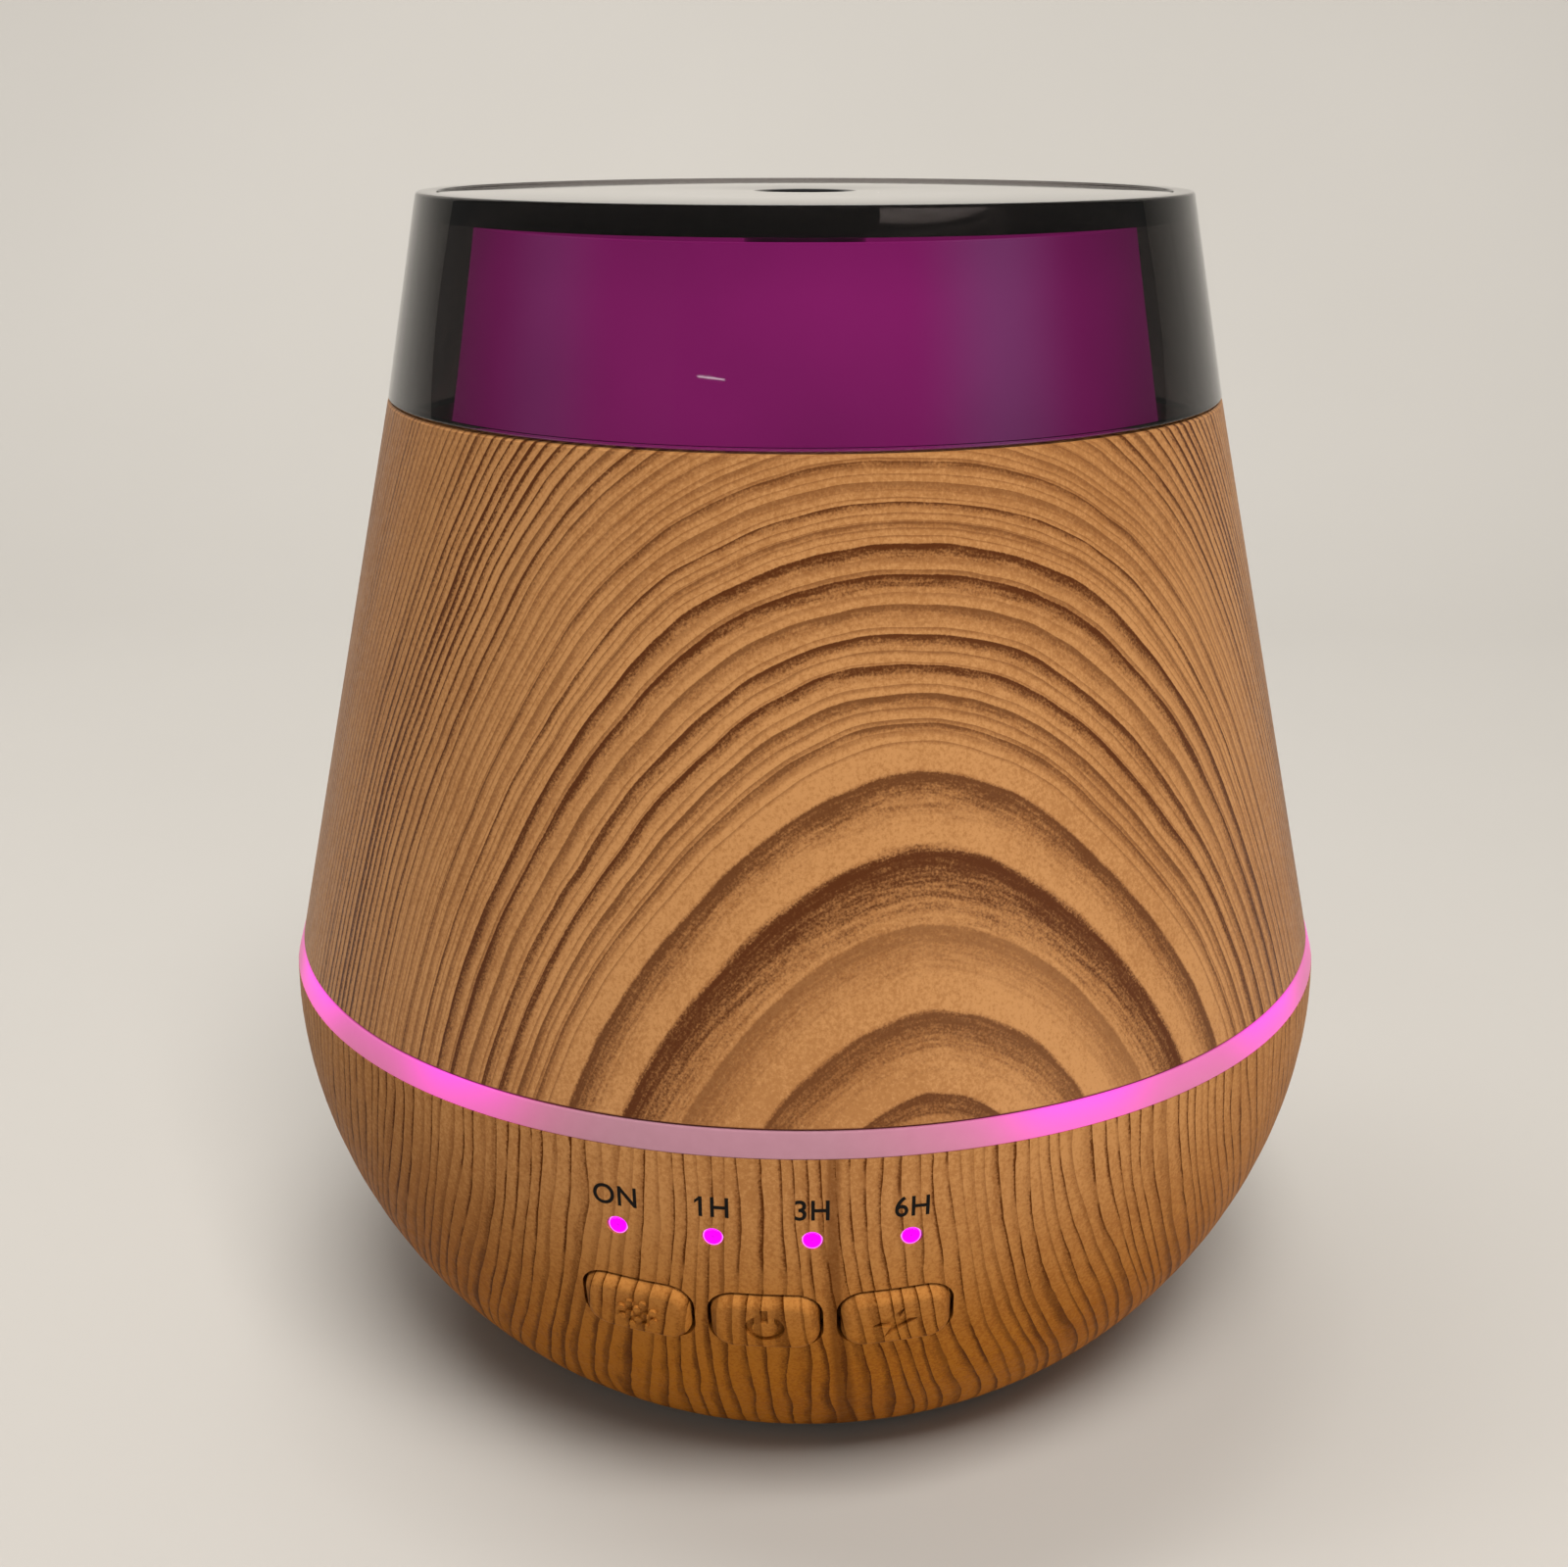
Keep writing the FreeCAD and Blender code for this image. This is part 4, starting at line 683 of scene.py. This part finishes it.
def indicator_windows(material):
    """Four shallow domes in the indicator holes, with their radius share stored as UV."""
    for index, angle in enumerate(LED_ANGLES):
        surface = bowl_surface(angle + LED_PROBE, LED_Z)
        radius = math.hypot(surface.x, surface.y) - LED_RECESS
        outward = Vector((math.sin(angle), -math.cos(angle), 0))
        across = Vector((math.cos(angle), math.sin(angle), 0))
        centre = outward * radius + Vector((0, 0, LED_Z))
        mesh = bmesh.new()
        uv = mesh.loops.layers.uv.new("reach")
        rows, spokes = 6, 32
        reaches = {}
        tip = mesh.verts.new(centre + outward * LED_DOME)
        reaches[tip] = 0.0
        loops = []
        for row in range(1, rows + 2):
            share = min(row / rows, 1.0)
            sink = -LED_DEPTH if row > rows else LED_DOME * (1 - share * share)
            loop = []
            for spoke in range(spokes):
                turn = math.tau * spoke / spokes
                offset = across * math.cos(turn) + Vector((0, 0, math.sin(turn)))
                vert = mesh.verts.new(centre + offset * LED_R * share + outward * sink)
                reaches[vert] = share
                loop.append(vert)
            loops.append(loop)
        for spoke in range(spokes):
            following = (spoke + 1) % spokes
            mesh.faces.new((tip, loops[0][spoke], loops[0][following]))
            for inner, outer in zip(loops, loops[1:]):
                mesh.faces.new((inner[spoke], outer[spoke], outer[following], inner[following]))
        mesh.faces.new(list(reversed(loops[-1])))
        for face in mesh.faces:
            for loop in face.loops:
                loop[uv].uv = (reaches[loop.vert], 0.0)
        bmesh.ops.recalc_face_normals(mesh, faces=mesh.faces)
        place(finished(f"indicator_window_{index + 1}", mesh), "base", "clear_guide", material)


def figure_one_flag(mesh):
    """The slanted stroke at the head of a leading figure 1, which the plain font leaves out."""
    left = min(vert.co.x for vert in mesh.verts) + FLAG_WIDTH / 4
    top = max(vert.co.y for vert in mesh.verts)
    outline = [(left, top), (left - FLAG_REACH, top - FLAG_DROP),
               (left - FLAG_REACH, top - FLAG_DROP - FLAG_WIDTH), (left, top - FLAG_WIDTH)]
    back, front = [[mesh.verts.new((x, y, depth)) for x, y in outline]
                   for depth in (-LABEL_THICKNESS, LABEL_THICKNESS)]
    mesh.faces.new(front)
    mesh.faces.new(back[::-1])
    for one in range(len(outline)):
        two = (one + 1) % len(outline)
        mesh.faces.new((back[one], back[two], front[two], front[one]))


def label(text, angle, material):
    """A printed label bent round the bowl, a hair thicker than ink."""
    curve = bpy.data.curves.new("label_text", "FONT")
    curve.body = text
    curve.size = LABEL_SIZE
    curve.align_x = "CENTER"
    curve.extrude = LABEL_THICKNESS
    curve.offset = LABEL_WEIGHT
    curve.space_character = LABEL_SPACING
    flat = bpy.data.objects.new("label_flat", curve)
    bpy.context.scene.collection.objects.link(flat)
    bpy.context.view_layer.update()
    solved = flat.evaluated_get(bpy.context.evaluated_depsgraph_get())
    data = bpy.data.meshes.new_from_object(solved)
    mesh = bmesh.new()
    mesh.from_mesh(data)
    bpy.data.objects.remove(flat)
    bmesh.ops.remove_doubles(mesh, verts=mesh.verts, dist=0.001 * MM)
    if text.startswith("1"):
        figure_one_flag(mesh)
    bmesh.ops.triangulate(mesh, faces=mesh.faces)
    long_edges = [edge for edge in mesh.edges if edge.calc_length() > LABEL_BEND]
    bmesh.ops.subdivide_edges(mesh, edges=long_edges, cuts=3, use_grid_fill=False)
    for vert in mesh.verts:
        height = LABEL_Z + vert.co.y
        centre = bowl_surface(angle, height)
        radius = math.hypot(centre.x, centre.y) + LABEL_THICKNESS * LABEL_LIFT + vert.co.z
        turn = angle + vert.co.x * LABEL_NARROW / radius
        vert.co = (radius * math.sin(turn), -radius * math.cos(turn), height)
    bmesh.ops.triangulate(mesh, faces=mesh.faces)
    place(finished("label_" + text, mesh), "base", "chip_black", material)


# ======== the frame's own nodes

def dress_nodes():
    """Gives each CAD node that stays in view its material."""
    bowl_wood = straight_wood("bowl_wood")
    button_wood = straight_wood("button_wood", BUTTON_PRINT_TURN)
    white = moulded("white_plastic", rgb(0.74, 0.74, 0.72), rgb(0.68, 0.68, 0.66), 0.45)
    # painted glow: the tank and chimney glow faint magenta, standing in for light from the mood lamps
    milky_painted_glow = moulded("milky_plastic", rgb(0.56, 0.51, 0.58), rgb(0.49, 0.44, 0.51), 0.32, depth=0.01,
                    Subsurface_Weight=0.25, Subsurface_Scale=2 * MM,
                    Emission_Color=MAGENTA, Emission_Strength=0.10)
    black = moulded("black_plastic", rgb(0.018, 0.018, 0.02), rgb(0.028, 0.028, 0.03), 0.5)
    resin = moulded("chip_resin", rgb(0.012, 0.012, 0.012), rgb(0.02, 0.02, 0.02), 0.6, grain=2200.0)
    ferrite = moulded("ferrite", rgb(0.05, 0.05, 0.055), rgb(0.08, 0.08, 0.085), 0.7, grain=1500.0)
    rubber = moulded("grey_rubber", rgb(0.20, 0.20, 0.20), rgb(0.26, 0.26, 0.26), 0.75, grain=1200.0)
    plunger = moulded("plunger_plastic", rgb(0.30, 0.05, 0.04), rgb(0.24, 0.04, 0.03), 0.4)
    sleeve = moulded("capacitor_sleeve", rgb(0.01, 0.02, 0.09), rgb(0.015, 0.03, 0.12), 0.3)
    lamp = moulded("lamp_case", rgb(0.85, 0.82, 0.70), rgb(0.80, 0.75, 0.60), 0.3,
                   Emission_Color=MAGENTA, Emission_Strength=0.6)
    steel = metal("screw_steel", rgb(0.55, 0.55, 0.57), rgb(0.42, 0.42, 0.44), 0.32)
    brass = metal("brass", rgb(0.78, 0.56, 0.24), rgb(0.66, 0.46, 0.18), 0.3)
    aluminium = metal("heat_sink_aluminium", rgb(0.72, 0.73, 0.75), rgb(0.6, 0.61, 0.63), 0.38)
    board = circuit_board()
    clear = clear_plastic()
    dressing = {
        bowl_wood: ("lower_bowl",),
        button_wood: ("light_button", "power_button", "mist_button"),
        white: ("air_duct", "board_connectors", "transducer_clamp"),
        milky_painted_glow: ("water_tank", "air_chimney"),
        black: ("bottom_plate", "fan_housing", "fan_rotor", "dc_jack", "tact_switches"),
        resin: ("controller_chip", "drive_transistor"),
        ferrite: ("drive_inductor", "fan_magnet"),
        rubber: ("rubber_feet", "transducer_seal"),
        plunger: ("light_switch_plunger", "power_switch_plunger", "mist_switch_plunger"),
        sleeve: ("filter_capacitor",),
        lamp: ("mood_lamps", "indicator_leds"),
        steel: ("case_screws", "clamp_screws", "fan_screws", "driver_board_screws", "panel_screws",
                "fan_shaft"),
        brass: ("transducer_disc", "fan_bearing", "dc_jack_pin"),
        aluminium: ("heat_sink",),
        board: ("mood_lamp_board", "driver_board", "control_board"),
        clear: ("light_guide",),
        glowing_lid(): ("inner_lid",),
    }
    for material, names in dressing.items():
        for name in names:
            for slot in NODES[name].material_slots:
                slot.material = material


# ======== stage, light and camera

def stage():
    """A pale table top that curves up into a pale wall."""
    width, front, back, bend, height, steps = 3.0, -1.6, 0.75, 0.35, 1.8, 16
    turns = [math.pi / 2 * step / steps for step in range(1, steps + 1)]
    profile = [(front, 0.0), (back - bend, 0.0)]
    profile += [(back - bend + bend * math.sin(turn), bend - bend * math.cos(turn)) for turn in turns]
    profile.append((back, height))
    mesh = bmesh.new()
    rows = [[mesh.verts.new((side * width / 2, y, z)) for side in (-1, 1)] for y, z in profile]
    for lower, upper in zip(rows, rows[1:]):
        mesh.faces.new((lower[0], lower[1], upper[1], upper[0]))
    backdrop = finished("backdrop", mesh, crease=math.pi)
    s = Shader("pale_backdrop")
    tone = s.noise(s.place, 3.0, 3.0, 0.5)
    backdrop.data.materials.append(s.surface(
        Base_Color=s.mix(tone, rgb(0.42, 0.40, 0.37), rgb(0.47, 0.45, 0.42)), Roughness=0.85))


def softbox(name, location, target, size, power, colour, mirrored=False):
    """A rectangular light aimed at a point; only a mirrored one shows in glossy surfaces."""
    lamp = bpy.data.lights.new(name, "AREA")
    lamp.shape = "RECTANGLE"
    lamp.size, lamp.size_y = size
    lamp.energy = power
    lamp.color = colour
    made = bpy.data.objects.new(name, lamp)
    made.location = location
    made.rotation_euler = (Vector(target) - Vector(location)).to_track_quat("-Z", "Y").to_euler()
    made.visible_glossy = mirrored
    bpy.context.scene.collection.objects.link(made)


def lights():
    """Soft daylight from above the camera, fill from both sides, and one small glint."""
    world = bpy.data.worlds.new("room")
    world.use_nodes = True
    background = world.node_tree.nodes["Background"]
    background.inputs["Color"].default_value = rgb(1.0, 0.97, 0.92)
    background.inputs["Strength"].default_value = 0.13
    bpy.context.scene.world = world
    middle = (0, 0, 0.09)
    bowl_foot = (0.03, -0.03, 0.02)
    cap_front = (-0.007, -0.054, 0.143)
    wall_middle = (-0.45, 0.75, 0.45)
    white = (1.0, 1.0, 1.0)
    softbox("key_window", (0.25, -0.75, 1.45), middle, (0.8, 0.6), 29.0, (1.0, 0.98, 0.95))
    softbox("glint", (-0.42, -1.14, 0.36), cap_front, (0.15, 0.004), 0.02, white, mirrored=True)
    softbox("left_window", (-1.1, -0.9, 0.5), middle, (0.9, 0.9), 1.5, (1.0, 0.93, 0.85))
    softbox("right_window", (0.40, -0.42, 0.06), bowl_foot, (0.4, 0.10), 1.1, (1.0, 0.95, 0.90))
    softbox("wall_light", (-0.30, 0.1, 1.3), wall_middle, (1.0, 0.4), 12.5, white)


def camera():
    """The camera at the photograph's viewing angle, level from side to side."""
    data = bpy.data.cameras.new("camera")
    data.lens = CAMERA_LENS
    data.sensor_width = 36.0
    data.shift_x = CAMERA_SHIFT
    data.clip_start = 0.01
    made = bpy.data.objects.new("camera", data)
    across = CAMERA_DISTANCE * math.sin(CAMERA_TURN)
    forward = -CAMERA_DISTANCE * math.cos(CAMERA_TURN)
    made.location = (across, forward, CAMERA_HEIGHT)
    made.rotation_euler = (math.pi / 2 - CAMERA_PITCH, 0, CAMERA_TURN)
    bpy.context.scene.collection.objects.link(made)
    bpy.context.scene.camera = made
    bpy.context.scene.view_settings.view_transform = "Standard"


camera()
dress_nodes()
cone_shell(cathedral_wood())
smoke_shell(smoke_plastic())
plate_disc(gloss_black())
lit_ring(ring_plastic())
indicator_windows(lamp_window())
label_ink = ink()
for label_text, label_angle in zip(LABELS, LED_ANGLES):
    label(label_text, label_angle, label_ink)
stage()
lights()
